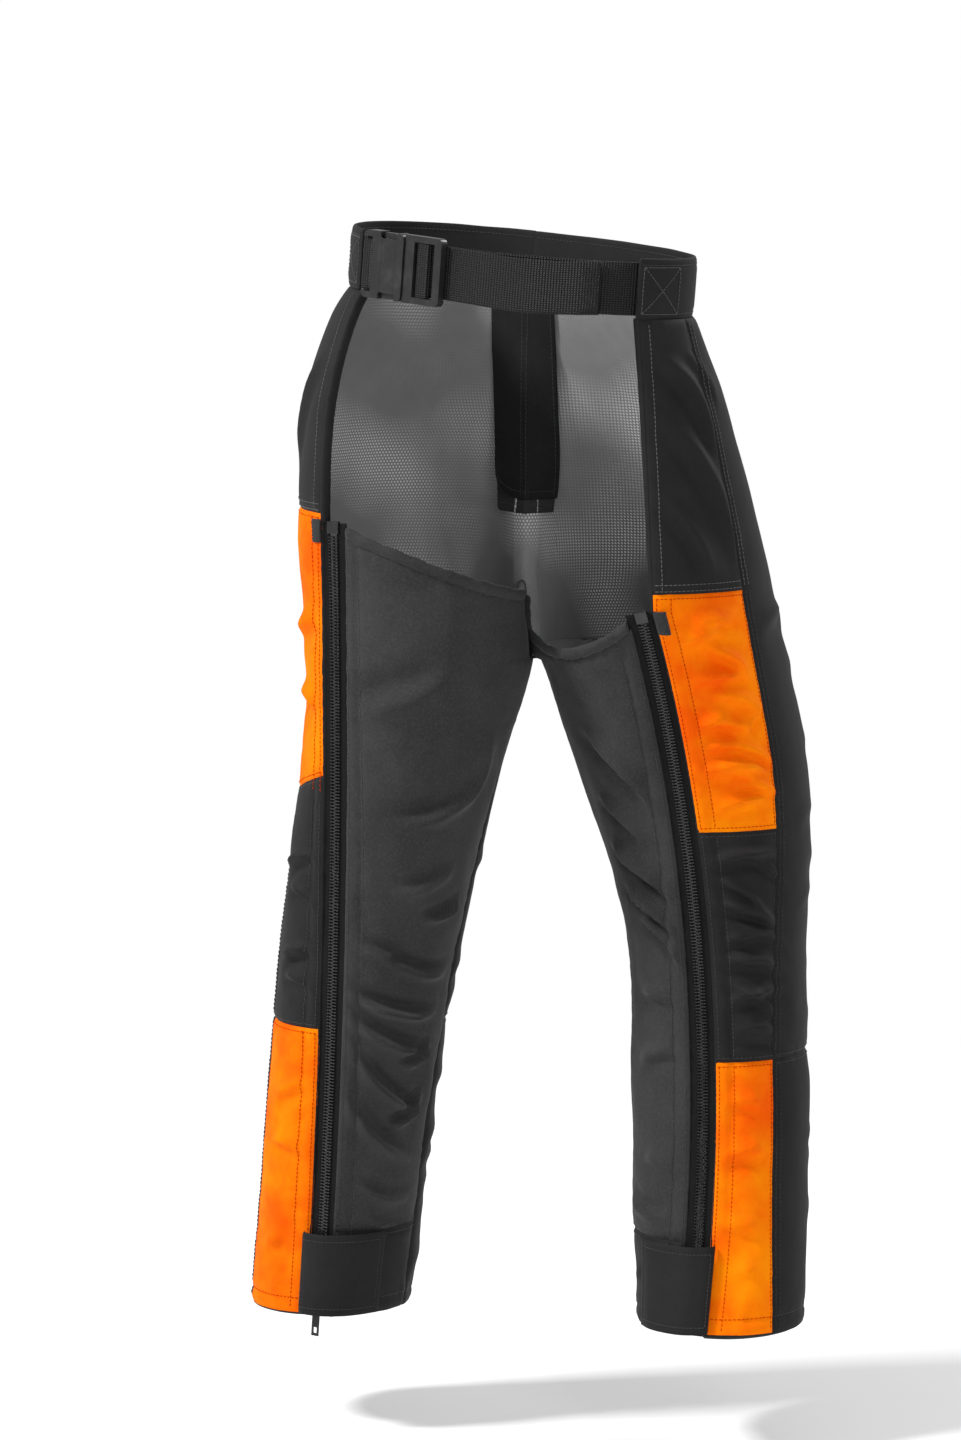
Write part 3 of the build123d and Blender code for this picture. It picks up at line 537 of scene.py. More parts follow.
def cloth_material(
    name, base, light, rough=0.85, weave=0.9, slant=0.7, bump=0.25, wear=0.25, sheen=0.25, shine=0.16
):
    """Woven cloth: threads in the surface's own millimetres, blotches and faint wear over them."""
    paint = Paint(name)
    turned = paint.node("Mapping", {"Vector": paint.flat(), "Rotation": (0, 0, slant)}).outputs[0]
    scale = WAVE_PER_METRE / (weave * MM)
    warp, weft = paint.wave(turned, scale, 1.2, "X"), paint.wave(turned, scale * 0.8, 1.0, "Y")
    threads = paint.math("MULTIPLY", warp, weft)
    blotch, speck = paint.noise(14.0, 6.0, 0.6), paint.noise(420.0, 2.0, 0.7)
    body = paint.mix(paint.ramp(blotch, 0.35, 0.72), rgba(base), rgba(light))
    fuzz = paint.math("MULTIPLY", paint.ramp(speck, 0.45, 0.8), wear)
    worn = paint.mix(fuzz, body, rgba([min(1, c * 1.7 + 0.02) for c in light]))
    shade = paint.math("ADD", paint.math("MULTIPLY", threads, 0.35), 0.82)
    grey = paint.node("CombineColor", {0: shade, 1: shade, 2: shade}).outputs[0]
    paint.put(paint.bsdf, {
        "Base Color": paint.mix(1.0, worn, grey, "MULTIPLY"),
        "Roughness": paint.spread(blotch, rough - 0.08, rough + 0.08),
        "Sheen Weight": sheen, "Sheen Roughness": 0.5, "Specular IOR Level": shine,
    })
    paint.relief(paint.math("ADD", threads, paint.math("MULTIPLY", speck, 0.6)), bump, 0.0004)
    return paint.material


def mesh_material(name, base, hole, pitch=3.4):
    """Knitted mesh: rows of small round holes set like a honeycomb, open in patches.

    In those patches the holes are painted lighter and glow faintly: painted light that stands for the light
    coming through them.
    """
    paint = Paint(name)
    step, root3 = 1 / (pitch * MM), 1.732
    flat = paint.flat()
    distances = []
    for shift in (0.0, 0.5):
        cell = paint.vector("MULTIPLY", flat, (step, step / root3, 0))
        part = paint.vector("FRACTION", paint.vector("ADD", cell, (shift, shift, 0)))
        mid = paint.vector("SUBTRACT", part, (0.5, 0.5, 0))
        distances.append(paint.vector("LENGTH", paint.vector("MULTIPLY", mid, (1, root3, 0))))
    yarn = paint.ramp(paint.math("MINIMUM", *distances), 0.2, 0.36)
    blotch = paint.ramp(paint.noise(16.0, 5.0, 0.6), 0.3, 0.75)
    body = paint.mix(blotch, rgba(base), rgba([c * 1.25 for c in base]))
    patches = paint.ramp(paint.noise(9.0, 1.0), 0.48, 0.72)
    # painted light: in the patches the open holes get a lighter colour and a faint glow
    lit_hole = paint.math("MULTIPLY", paint.math("SUBTRACT", 1.0, yarn), patches)
    paint.put(paint.bsdf, {
        "Base Color": paint.mix(lit_hole, body, rgba(hole)),
        "Emission Color": paint.mix(lit_hole, rgba((0, 0, 0)), rgba((0.10, 0.10, 0.10))),
        "Emission Strength": 1.0, "Roughness": 0.62, "Sheen Weight": 0.15, "Specular IOR Level": 0.25,
    })
    paint.relief(yarn, 0.35, 0.0006)
    return paint.material


def webbing_material(name, base, light):
    """Ribbed webbing: ribs along the strap with the fine weave across them."""
    paint = Paint(name)
    flat = paint.flat()
    ribs = paint.wave(flat, WAVE_PER_METRE / 0.0027, 0.6, "X")
    cross = paint.wave(flat, WAVE_PER_METRE / 0.0021, 1.2, "Y")
    height = paint.math("ADD", ribs, paint.math("MULTIPLY", cross, 0.8))
    blotch = paint.spread(paint.noise(30.0, 5.0, 0.6), 0.4, 1.0)
    # painted shade and highlight: the colour is darker down in the grooves between the ribs and lighter on
    # their tops, mottled by the blotches
    factor = paint.math("MULTIPLY", paint.ramp(height, 0.4, 1.6), blotch)
    colour = paint.mix(factor, rgba(base), rgba(light))
    paint.put(paint.bsdf, {"Base Color": colour, "Roughness": 0.5, "Specular IOR Level": 0.22})
    paint.relief(height, 0.9, 0.0009)
    return paint.material


def hard_material(name, base, rough, metal=0.0, bump=0.08):
    """Moulded plastic or painted metal with a fine grain and light scuffs."""
    paint = Paint(name)
    fine, broad = paint.noise(900.0, 3.0, 0.6), paint.noise(60.0, 8.0, 0.75)
    scuffed = rgba([c * 1.9 + 0.01 for c in base])
    paint.put(paint.bsdf, {
        "Base Color": paint.mix(paint.ramp(broad, 0.5, 0.8), rgba(base), scuffed),
        "Roughness": paint.spread(broad, rough - 0.1, rough + 0.15),
        "Metallic": metal,
    })
    paint.relief(fine, bump, 0.0002)
    return paint.material


BLACK = cloth_material(
    "black_cloth", (0.006, 0.006, 0.0065), (0.012, 0.012, 0.0128),
    bump=0.3, wear=0.12, sheen=0.02, rough=0.72, shine=0.2,
)
TWILL = cloth_material(
    "black_twill", (0.009, 0.009, 0.0095), (0.016, 0.016, 0.017),
    weave=1.6, slant=1.1, bump=0.5, wear=0.15, sheen=0.03,
)
CHARCOAL = cloth_material(
    "charcoal_cloth", (0.023, 0.023, 0.024), (0.037, 0.037, 0.0385),
    weave=1.1, bump=0.35, wear=0.3, sheen=0.06,
)
ORANGE = cloth_material(
    "hi_vis_cloth", (0.90, 0.105, 0.0), (1.0, 0.27, 0.0), rough=0.8, wear=0.0, sheen=0.0, shine=0.05
)
GREY_MESH = mesh_material("lining_mesh", (0.18, 0.18, 0.183), (0.5, 0.5, 0.505))
WEBBING = webbing_material("belt_webbing", (0.003, 0.003, 0.0033), (0.024, 0.024, 0.025))
TAPE = cloth_material(
    "zip_tape_cloth", (0.005, 0.005, 0.005), (0.009, 0.009, 0.0093),
    weave=0.7, slant=0.0, bump=0.5, wear=0.05, sheen=0.0,
)
FIBRE = cloth_material(
    "protective_fibre", (0.45, 0.44, 0.40), (0.62, 0.61, 0.56), weave=2.6, bump=0.8, wear=0.3
)
TOOTH = hard_material("zip_teeth", (0.012, 0.012, 0.0125), 0.22)
PLASTIC = hard_material("buckle_plastic", (0.012, 0.012, 0.0127), 0.3, bump=0.1)
METAL = hard_material("slider_metal", (0.02, 0.02, 0.021), 0.38, metal=0.6)
THREAD = {
    "dark": cloth_material("dark_thread", (0.02, 0.02, 0.021), (0.034, 0.034, 0.035), weave=0.4, wear=0.1),
    "light": cloth_material("light_thread", (0.07, 0.07, 0.069), (0.12, 0.12, 0.117), weave=0.4, wear=0.1),
    "orange": cloth_material(
        "orange_thread", (0.42, 0.03, 0.0), (0.6, 0.06, 0.0), weave=0.4, wear=0.0, sheen=0.0, shine=0.05
    ),
}

# ---------------------------------------------------------------- stitches
# rings of one stitch: quarters of its pitch along it, lift off the cloth and size as shares of its radius
STITCH_RINGS = ((0.35, -0.5, 0.5), (1.0, 0.25, 0.95), (2.0, 0.42, 1.0), (3.0, 0.25, 0.95), (3.65, -0.5, 0.5))
rows_of_thread = {}


def resample(points, normals, pitch):
    """Points four to a stitch along a line, and how many stitches it takes."""
    run = lengths(points)
    count = max(1, int(run[-1] / pitch))
    at = (np.arange(count * 4 + 1)) / 4 * (run[-1] / count)
    p, n = (np.stack([np.interp(at, run, line[:, k]) for k in range(3)], -1) for line in (points, normals))
    return p, unit(n), count


def stitch(points, normals, body="garment", colour="dark", pitch=4.2, radius=0.42):
    """A row of sewn stitches lying on the cloth along a line of points."""
    p, n, count = resample(np.asarray(points, float), np.asarray(normals, float), pitch)
    k = np.arange(count) * 4
    rings = []
    for step, lift, size in STITCH_RINGS:
        i = np.clip(k + int(step), 0, len(p) - 2)
        f = step - int(step)
        tangent = p[i + 1] - p[i]
        tangent /= np.linalg.norm(tangent, axis=1, keepdims=True) + 1e-12
        side = np.cross(n[i], tangent)
        centre = p[i] * (1 - f) + p[i + 1] * f + n[i] * (lift * radius * 1.6)
        turns = np.arange(5) * math.tau / 5
        ring = [centre + (side * math.cos(a) + n[i] * math.sin(a)) * radius * size for a in turns]
        rings.append(np.stack(ring, 1))
    faces = wrapped(5, 5)[:, None, :] + (np.arange(count) * 25)[None, :, None]
    row = np.stack(rings, 1).reshape(-1, 3), faces.reshape(-1, 4)
    rows_of_thread.setdefault((body, colour), []).append(row)


def sew_threads():
    """Joins every row of stitches of one colour on one body into one piece."""
    for (body, colour), rows in rows_of_thread.items():
        starts = np.cumsum([0] + [len(v) for v, _ in rows])
        verts = np.concatenate([v for v, _ in rows])
        faces = np.concatenate([f + start for (_, f), start in zip(rows, starts)])
        new_object(f"stitches_{colour}_{body}", verts, faces.tolist(), body, THREAD[colour], verts[:, :2])


# ---------------------------------------------------------------- panels of the legs
class Panel:
    """One panel of cloth: where it lies on its leg, how full it is and how strongly it folds.

    puff fills it between its seams, calm scales its folds, lift moves it off the skin, pucker draws the
    cloth in at its seams, ridges run down it, and floor is as deep as it may dip.
    """

    def __init__(self, name, leg, start, end, high, low, material, slot, puff=2.4, thickness=2.0, calm=1.0,
                 lift=0.0, pitch=4.0, seams=(), pucker=1.5, ridges=0.0, floor=-1.8, under_flap=False):
        self.name, self.leg = f"{name}_{leg.side}", leg
        self.high = high if callable(high) else (lambda u: high + 0 * u)
        self.low = low if callable(low) else (lambda u: low + 0 * u)
        self.puff, self.calm, self.lift = puff, calm, lift
        self.pucker, self.ridges, self.floor, self.under_flap = pucker, ridges, floor + lift, under_flap
        self.edges = [("u", start), ("u", end), ("z", self.high), ("z", self.low), *seams]
        us = np.array([start, end], float)
        ends = np.concatenate([self.high(us), self.low(us)])
        width = max(abs(np.diff(leg.girth(z, us)))[0] for z in (ends.max(), ends.mean(), ends.min()))
        along = np.linspace(start, end, 9)
        height = (self.high(along) - self.low(along)).max()
        nx, ny = max(6, int(width / pitch) + 2), max(6, int(height / pitch) + 2)
        u = np.broadcast_to(np.linspace(start, end, nx)[None, :], (ny, nx))
        t = np.linspace(0, 1, ny)[:, None]
        z = self.high(u[:1]) * (1 - t) + self.low(u[:1]) * t
        outer, n, s = self.at(z, u)
        skin, _ = leg.skin(z, u)
        cells = np.cross(skin[1:, :-1] - skin[:-1, :-1], skin[:-1, 1:] - skin[:-1, :-1])
        area = np.linalg.norm(cells, axis=-1).sum() * 1e-6
        flip = (leg.sign > 0) != (end > start)
        self.obj = shell(self.name, outer, outer - n * thickness, np.stack([s, z], -1), material, flip=flip)
        self.obj.name = f"cloth_{self.name}"
        self.flat = ((width + 4) * MM, (height + 4) * MM)
        self.area = min(area, self.flat[0] * self.flat[1])

    def at(self, z, u):
        """Points on the outside of the cloth, the skin's normals and the girths."""
        z, u = np.broadcast_arrays(np.asarray(z, float), np.asarray(u, float))
        p, n = self.leg.skin(z, u)
        s = self.leg.girth(z, u)
        beside, across = np.full(z.shape, 1e3), np.full(z.shape, 1e3)
        for kind, value in self.edges:
            if kind == "z":
                across = np.minimum(across, np.abs(z - (value(u) if callable(value) else value)))
            else:
                beside = np.minimum(beside, np.abs(s - (self.leg.girth(z, value) if kind == "u" else value)))
        d = np.minimum(beside, across)
        soft = 1 - np.exp(-d / 9.0)
        height = self.lift + self.puff * soft - 1.0 * np.exp(-d / 2.0)
        height = height + self.ridges * value_noise(s / 10 + 3, z / 170, 0)
        height = height + self.pucker * np.exp(-beside / 9.0) * value_noise(z / 5.5, s / 30 + 9, 3)
        height = height + self.pucker * np.exp(-across / 9.0) * value_noise(s / 5.5, z / 30 + 5, 1)
        uneven = folds(self.leg, s, z) + crinkle(self.leg, s, z)
        height = height + uneven * self.calm * (0.35 + 0.65 * soft)
        height = self.floor + np.logaddexp(0, (height - self.floor) * 1.5) / 1.5
        if self.under_flap:
            # the cloth is sewn flat where the flap's root crosses it
            off = np.abs(s - self.leg.girth(z, FLAP_ROOT))
            flat = np.clip((32 - off) / 12, 0, 1) * np.clip((FLAP_TOP + 12 - z) / 8, 0, 1)
            flat = flat * np.clip((z - FLAP_FOOT + 12) / 8, 0, 1)
            height = height * (1 - flat) - 0.9 * flat
        return p + n * height[..., None], n, s

    def row_down(self, s, high, low, colour="dark"):
        """Stitches down the leg, that far round it from its zip."""
        z = np.arange(high, low, -2.0)
        p, n, _ = self.at(z, self.leg.place_at(z, s(z) if callable(s) else s))
        stitch(p, n, colour=colour)

    def row_round(self, level, start, end, colour="dark"):
        """Stitches round the leg at one level."""
        u = np.linspace(start, end, 80)
        p, n, _ = self.at(level(u) if callable(level) else level, u)
        stitch(p, n, colour=colour)


def back_top(leg, drop):
    """The slanting top edge of the back panel as a level for every u, so far below the cut."""
    level, gx, gy = leg.back_cut
    us = np.linspace(-1, -1e-6, 60)
    zs = np.arange(leg.tube_top, -520, -1.0)
    pts, _ = leg.flat_skin(zs[:, None], us[None, :])
    plane = level + gx * pts[..., 0] + gy * pts[..., 1]
    over = zs[:, None] - plane + drop * math.sqrt(1 + gx * gx + gy * gy)
    tops = zs[np.argmax(over <= 0, axis=0)]
    return lambda u: np.interp(u, us, tops)


def beside_seam(leg, off):
    """Girth, by level, of a line that far in front of the side seam."""
    return lambda z: leg.girth(z, 1.0) + off


def leg_cloth(leg):
    """All panels of one leg."""
    hem, strip, strip_behind = ("z", HEM_SEAM), ("s", STRIP), ("s", -STRIP)
    ahead, beside, behind = (leg, 1.0, 1.998), (leg, 0.0, 1.0), (leg, -0.001, -0.995)
    black, orange = (BLACK, "black_fabric"), (ORANGE, "hi_vis_fabric")
    foot, knee = leg.thigh_foot, leg.knee_low
    parts = {
        "front": Panel("front_panel", *ahead, TOP, knee, *black, calm=0.5),
        "shin": Panel("shin_panel", *ahead, knee, HEM, *black, puff=2.2, calm=0.7, seams=[hem]),
        "hip": Panel("hip_panel", *beside, TOP, leg.thigh_high, *black),
        "thigh": Panel("hi_vis_thigh_panel", *beside, leg.thigh_high, foot, *orange,
                       puff=2.6, calm=1.35, pitch=3.2, seams=[strip]),
        "knee": Panel("knee_side_panel", *beside, foot, knee, *black, calm=1.05, pitch=3.0, seams=[strip]),
        "lower": Panel("hi_vis_shin_panel", *beside, knee, HEM, *orange,
                       calm=1.15, pitch=3.4, seams=[strip, hem], under_flap=True),
        "back": Panel("back_panel", *behind, back_top(leg, 8.0), CUFF_TOP, CHARCOAL, "charcoal_fabric",
                      puff=1.4, thickness=1.6, calm=1.3, pitch=3.0, floor=-9.0, seams=[strip_behind]),
        "cuff": Panel("cuff_panel", *behind, CUFF_TOP, HEM, *black,
                      puff=1.4, thickness=1.8, seams=[strip_behind, hem]),
    }
    for key, piece in parts.items():
        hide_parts(piece.name)
    pad = Panel("protective_pad", leg, 0.42, 1.9, -66.0, -956.0, FIBRE, "protective_layers",
                puff=0.0, lift=-4.2, thickness=2.6, pitch=7, pucker=0.0, calm=0.2, floor=-3.0)
    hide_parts(pad.name)
    lining = Panel("mesh_lining", leg, 0.0, 1.985, TOP, HEM, GREY_MESH, "mesh",
                   puff=0.6, lift=-8.8, thickness=0.8, pucker=0.6, ridges=1.6, calm=0.4, floor=-6.0)
    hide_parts(lining.name)
    return {**parts, "lining": lining}


def sew_leg(leg, parts):
    """Every row of stitches on the panels of one leg."""
    hip, thigh, knee, lower, front, shin, back, cuff = (
        parts[key] for key in ("hip", "thigh", "knee", "lower", "front", "shin", "back", "cuff")
    )
    stretches = (
        (hip, front, TOP - 4, leg.thigh_high, "dark"),
        (thigh, front, leg.thigh_high, leg.thigh_low, "orange"),
        (knee, front, leg.thigh_low, leg.knee_low, "dark"),
        (lower, shin, leg.knee_low, HEM, "orange"),
    )
    for beside, ahead, high, low, colour in stretches:
        for off in (3.5, 8.0):
            ahead.row_down(beside_seam(leg, off), high, low + 3, "light" if beside is hip else "dark")
        beside.row_down(beside_seam(leg, -3.0), high - 3, low + 3, colour)
    hip.row_down(ZIP_EDGE + 9, TOP - 4, leg.thigh_high + 3, "light")
    for beside, _, high, low, colour in stretches[1:]:
        for s in (STRIP + 2.2, ZIP_EDGE + 3):
            beside.row_down(s, high - 3, low + 3, colour)
    below_binding = float(back_top(leg, 8.0)(-0.02)) - 14
    for piece, high, low in ((back, below_binding, CUFF_TOP), (cuff, CUFF_TOP, HEM + 2)):
        for s in (-STRIP - 2.2, -ZIP_EDGE - 3):
            piece.row_down(s, high, low)
    for off in (3, 9):
        hip.row_round(leg.thigh_high + off, 0.02, 0.99, "light")
    thigh.row_round(leg.thigh_high - 4, 0.02, 0.99, "orange")
    thigh.row_round(lambda u: leg.thigh_foot(u) + 4, 0.02, 0.99, "orange")
    knee.row_round(lambda u: leg.thigh_foot(u) - 4, 0.02, 0.99)
    knee.row_round(leg.knee_low + 4, 0.02, 0.99)
    lower.row_round(leg.knee_low - 4, 0.02, 0.99, "orange")
    lower.row_round(HEM_SEAM + 1.6, 0.0, 1.0, "orange")
    front.row_round(leg.knee_low + 4, 1.01, 1.99)
    shin.row_round(leg.knee_low - 4, 1.01, 1.99)
    shin.row_round(HEM_SEAM + 1.6, 1.0, 1.99)
    cuff.row_round(HEM_SEAM + 1.6, -0.01, -0.99)
    cuff.row_round(CUFF_TOP - 4, -0.01, -0.99)
    back.row_round(CUFF_TOP + 4, -0.01, -0.99)


cloth = {}
for leg in LEGS:
    cloth[leg.side] = leg_cloth(leg)
    sew_leg(leg, cloth[leg.side])


# ---------------------------------------------------------------- rolled edges, bindings and tabs
def roll(name, outer, inner, out_dir, bulge):
    """A folded edge of cloth that wraps from the outer layer round to the inner one."""
    mid, half = (outer + inner) / 2, (outer - inner) / 2
    faces = []
    for share, depth, sink in ((1.04, bulge, 0.0), (0.72, max(bulge - 1.3, 0.3), 1.0)):
        turns = np.linspace(0, math.pi, 9)
        rows = [mid + half * math.cos(a) * share + out_dir * (depth * math.sin(a) - sink) for a in turns]
        faces.append(np.stack(rows, 1))
    uv = pair(np.linspace(0, 14, 9)[None, :], lengths(outer)[:, None])
    obj = shell(name, *faces, uv, BLACK, edge=2)


def rolled_edges(leg, parts):
    """The edge of the hip opening, the fold beside the zip below it, and the hem."""
    z = np.append(np.arange(TOP, HEM - 0.1, -4.0), HEM)
    outer, normal = np.empty((len(z), 3)), np.empty((len(z), 3))
    for key in ("hip", "thigh", "knee", "lower"):
        p = parts[key]
        mask = (z <= p.high(np.zeros(1))[0]) & (z >= p.low(np.zeros(1))[0])
        outer[mask], normal[mask], _ = p.at(z[mask], 0.0)
    inner = parts["lining"].at(z, 0.0)[0] - normal * 1.2
    away = unit(leg.skin(z, 0.0)[0] - leg.skin(z, 0.03)[0])
    above, meets = z > leg.tube_top, z > leg.tube_top - 4
    for mask, name, bulge in ((above | meets, "opening_edge", 3.2), (~above, "zip_edge_fold", 1.2)):
        roll(f"{name}_{leg.side}", outer[mask], inner[mask], away[mask], bulge)
    u = np.linspace(0, 1.985, 130)
    outer, normal = np.empty((len(u), 3)), np.empty((len(u), 3))
    for key, mask in (("lower", u <= 1), ("shin", u > 1)):
        outer[mask], normal[mask], _ = parts[key].at(HEM, u[mask])
    inner = parts["lining"].at(HEM, u)[0] - normal * 1.2
    roll(f"hem_fold_{leg.side}", outer, inner, np.tile([0.0, 0.0, -1.0], (len(u), 1)), 2.2)


def back_binding(leg, back):
    """The rolled binding along the slanting top of the back panel."""
    u, around = np.linspace(-0.012, -0.975, 90), 16
    top = back_top(leg, 0.0)(u)
    centre, n, s = back.at(top - 5.0, u)
    rise = unit(back.at(top, u)[0] - back.at(top - 10, u)[0])
    centre = centre - n * 0.8
    ring = []
    for a in np.arange(around) * math.tau / around:
        fine = value_noise(s / 8 + 0.9 * math.sin(a), np.full_like(s, a * 1.2), 3)
        wobble = 1 + 0.22 * fine + 0.1 * value_noise(s / 21, np.full_like(s, 7.0), 1)
        ring.append(centre + (rise * (6.0 * math.sin(a)) + n * (4.0 * math.cos(a))) * wobble[:, None])
    ring = np.stack(ring, 1)
    verts = np.concatenate([ring.reshape(-1, 3), ring[:1].mean(1), ring[-1:].mean(1)])
    last = len(u) * around
    faces = wrapped(len(u), around).tolist()
    for j in range(around):
        k = (j + 1) % around
        faces += [[k, j, last], [last + 1, last - around + j, last - around + k]]
    uv = pair(s[:, None], (np.arange(around) * 1.8)[None, :]).reshape(-1, 2)
    if leg.sign < 0:
        faces = [f[::-1] for f in faces]
    binding = new_object(
        f"binding_{leg.side}", verts, faces, "garment", CHARCOAL, np.concatenate([uv, np.zeros((2, 2))])
    )
    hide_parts(f"back_binding_{leg.side}")
    stitch(centre - rise * 4.2 + n * 2.3, n, pitch=4.0)


def corner_tab(leg, thigh):
    """A small tab over the top corner of the hi-vis thigh panel."""
    z, u = np.broadcast_arrays(
        np.linspace(leg.tube_top + 1, leg.tube_top - 20, 12)[:, None], np.linspace(0.0, 0.11, 12)[None, :]
    )
    on_panel = np.minimum(z, leg.tube_top - 1)
    p, n, s = thigh.at(on_panel, u)
    p = p + np.stack([0 * z, 0 * z, z - on_panel], -1)
    p = p + n * 1.4
    uv = np.stack([s, z], -1)
    tab = shell(f"zip_corner_tab_{leg.side}", p + n * 0.9, p - n * 0.9, uv, CHARCOAL, flip=leg.sign < 0)
    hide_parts(f"zip_top_tab_{leg.side}")
    edge, edge_n = (np.concatenate([grid[1:-2, -2], grid[-2, -2:1:-1]]) for grid in (p, n))
    stitch(edge + edge_n * 0.9, edge_n, pitch=3.4)


for leg in LEGS:
    rolled_edges(leg, cloth[leg.side])
    back_binding(leg, cloth[leg.side]["back"])
    corner_tab(leg, cloth[leg.side]["thigh"])

# ---------------------------------------------------------------- zips
TOOTH_PITCH = 3.1
TOOTH_BLOCKS = ((-0.55, 2.6, 0.95), (2.6, 5.2, 0.72))  # head and root: from, to, half width
TOOTH_LEVELS = ((-4.9, 0.72), (-4.2, 1.0), (-1.4, 1.0), (-0.7, 0.66))  # level under the zip's face, size
TAPE_ACROSS = np.array([3.6, 5.0, 6.5, 8.0, 9.5, 11.0, 12.5, 14.5])


def zip_frames(leg, turns):
    """Origins on the zip's arc with their directions across, out and down."""
    down = unit(leg.zip_point(turns + 1e-4) - leg.zip_point(turns - 1e-4))
    out = np.append(leg.out, 0.0)
    out = unit(out[None, :] - down * (down @ out)[:, None])
    return leg.zip_point(turns), np.cross(out, down), out, down


def teeth(leg, which, way):
    """One row of teeth, each a head and a root; the two rows mesh above the slider."""
    pitch, near = TOOTH_PITCH / leg.zip_radius, 3.0 / leg.zip_radius
    slider = leg.sweep - leg.slider_rest / leg.zip_radius - near
    shut = np.arange(12.0 / leg.zip_radius + pitch, slider, pitch) + (pitch / 2 if way > 0 else 0)
    turns = np.concatenate([shut, np.arange(slider, leg.sweep - pitch * 0.6, pitch)])
    o, x, y, d = zip_frames(leg, turns)
    verts, faces = [], []
    for tip, root, wide in TOOTH_BLOCKS:
        points, mid = [], (tip + root) / 2
        for level, size in TOOTH_LEVELS:
            for ax, ad in ((tip, -wide), (root, -wide), (root, wide), (tip, wide)):
                px = way * (mid + (ax - mid) * (0.5 + 0.5 * size))
                points.append(o + x * px + y * level + d * (ad * size))
        begin = len(verts) * len(turns) * 16
        verts.append(np.stack(points, 1).reshape(-1, 3))
        block = [*wrapped(4, 4).tolist(), [3, 2, 1, 0], [12, 13, 14, 15]]
        faces += [[begin + i * 16 + k for k in face] for i in range(len(turns)) for face in block]
    if way < 0:
        faces = [f[::-1] for f in faces]
    name = f"zip_teeth_{which}_{leg.side}"
    chain = new_object(name, np.concatenate(verts), faces, "garment", TOOTH, shade=False)
    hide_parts(f"zip_chain_{which}_{leg.side}")


def tape(leg, which, way):
    """The cloth tape that carries one row of teeth."""
    run = np.linspace(2.0 / leg.zip_radius, leg.sweep, 260)
    o, x, y, _ = zip_frames(leg, run)
    ripple = value_noise(run * leg.zip_radius / 22, np.full_like(run, 3.0 + way), 1)[:, None]
    ripple = ripple * (TAPE_ACROSS - 4)[None, :] * 0.09
    grid = (
        o[:, None]
        + x[:, None] * (way * TAPE_ACROSS)[None, :, None]
        + y[:, None] * (-2.5 + ripple)[..., None]
    )
    uv = pair(TAPE_ACROSS[None, :], (run * leg.zip_radius)[:, None])
    name = f"zip_tape_cloth_{which}_{leg.side}"
    obj = shell(name, grid, grid - y[:, None] * 0.8, uv, TAPE, flip=way < 0, edge=2)
    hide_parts(f"zip_tape_{which}_{leg.side}")


for leg in LEGS:
    for which, way in (("outer", leg.sign), ("inner", -leg.sign)):
        teeth(leg, which, way)
        tape(leg, which, way)

# ---------------------------------------------------------------- belt
UP = np.array([math.sin(ROLL), 0, math.cos(ROLL)])
ACROSS = np.array([math.cos(ROLL), 0, -math.sin(ROLL)])
FORWARD = np.array([0.0, 1.0, 0.0])
BUCKLE_TURN = math.radians(14.6)
LENGTHWISE = np.array([math.cos(BUCKLE_TURN), -math.sin(BUCKLE_TURN)])
OUTWARD = np.array([-math.sin(BUCKLE_TURN), -math.cos(BUCKLE_TURN)])
BUCKLE = np.array([-75.0, -104.0])
STRAP_HALF = 24.6  # half width of the webbing


def waist_world(xy, h):
    """Points in space from points in the waist plane and heights above it."""
    xy, h = np.asarray(xy, float), np.asarray(h, float)
    return xy[..., 0, None] * ACROSS + xy[..., 1, None] * FORWARD + h[..., None] * UP


def ribbon(name, path, thickness=1.7, body="garment", wave=0.0, seed=0.0, sag=0.0):
    """A length of webbing that follows a path in the waist plane."""
    tangent = unit(np.gradient(path, axis=0))
    normal = np.stack([tangent[:, 1], -tangent[:, 0]], -1)[:, None, :]
    run = lengths(path)
    h = np.linspace(-STRAP_HALF, STRAP_HALF, 9)
    cup = 1 - np.clip(np.abs(h) / STRAP_HALF, 0, 1) ** 8 * 0.35
    shift = wave * value_noise(run[:, None] / 24 + seed, h[None, :] / 30 + seed, 1)
    mid = path[:, None, :] + normal * shift[..., None]
    half = normal * (thickness / 2 * cup)[None, :, None]
    hung = h[None, :] - sag * np.sin(math.pi * np.clip(run / run[-1], 0, 1))[:, None] ** 2
    uv = pair(run[:, None], h[None, :])
    obj = shell(name, waist_world(mid + half, hung), waist_world(mid - half, hung), uv, WEBBING, body)
    return obj


def curve(points, start=None, end=None, pitch=2.0):
    """A smooth curve through points of the waist plane."""
    p = np.asarray(points, float)
    chord = lengths(p)
    slope = np.gradient(p, chord, axis=0)
    if start is not None:
        slope[0] = unit(start)
    if end is not None:
        slope[-1] = unit(end)
    at = np.linspace(0, chord[-1], max(4, int(chord[-1] / pitch)))
    i = np.clip(np.searchsorted(chord, at, side="right") - 1, 0, len(p) - 2)
    span = (chord[i + 1] - chord[i])[:, None]
    return hermite((at - chord[i])[:, None] / span, p[i], p[i + 1], slope[i] * span, slope[i + 1] * span)


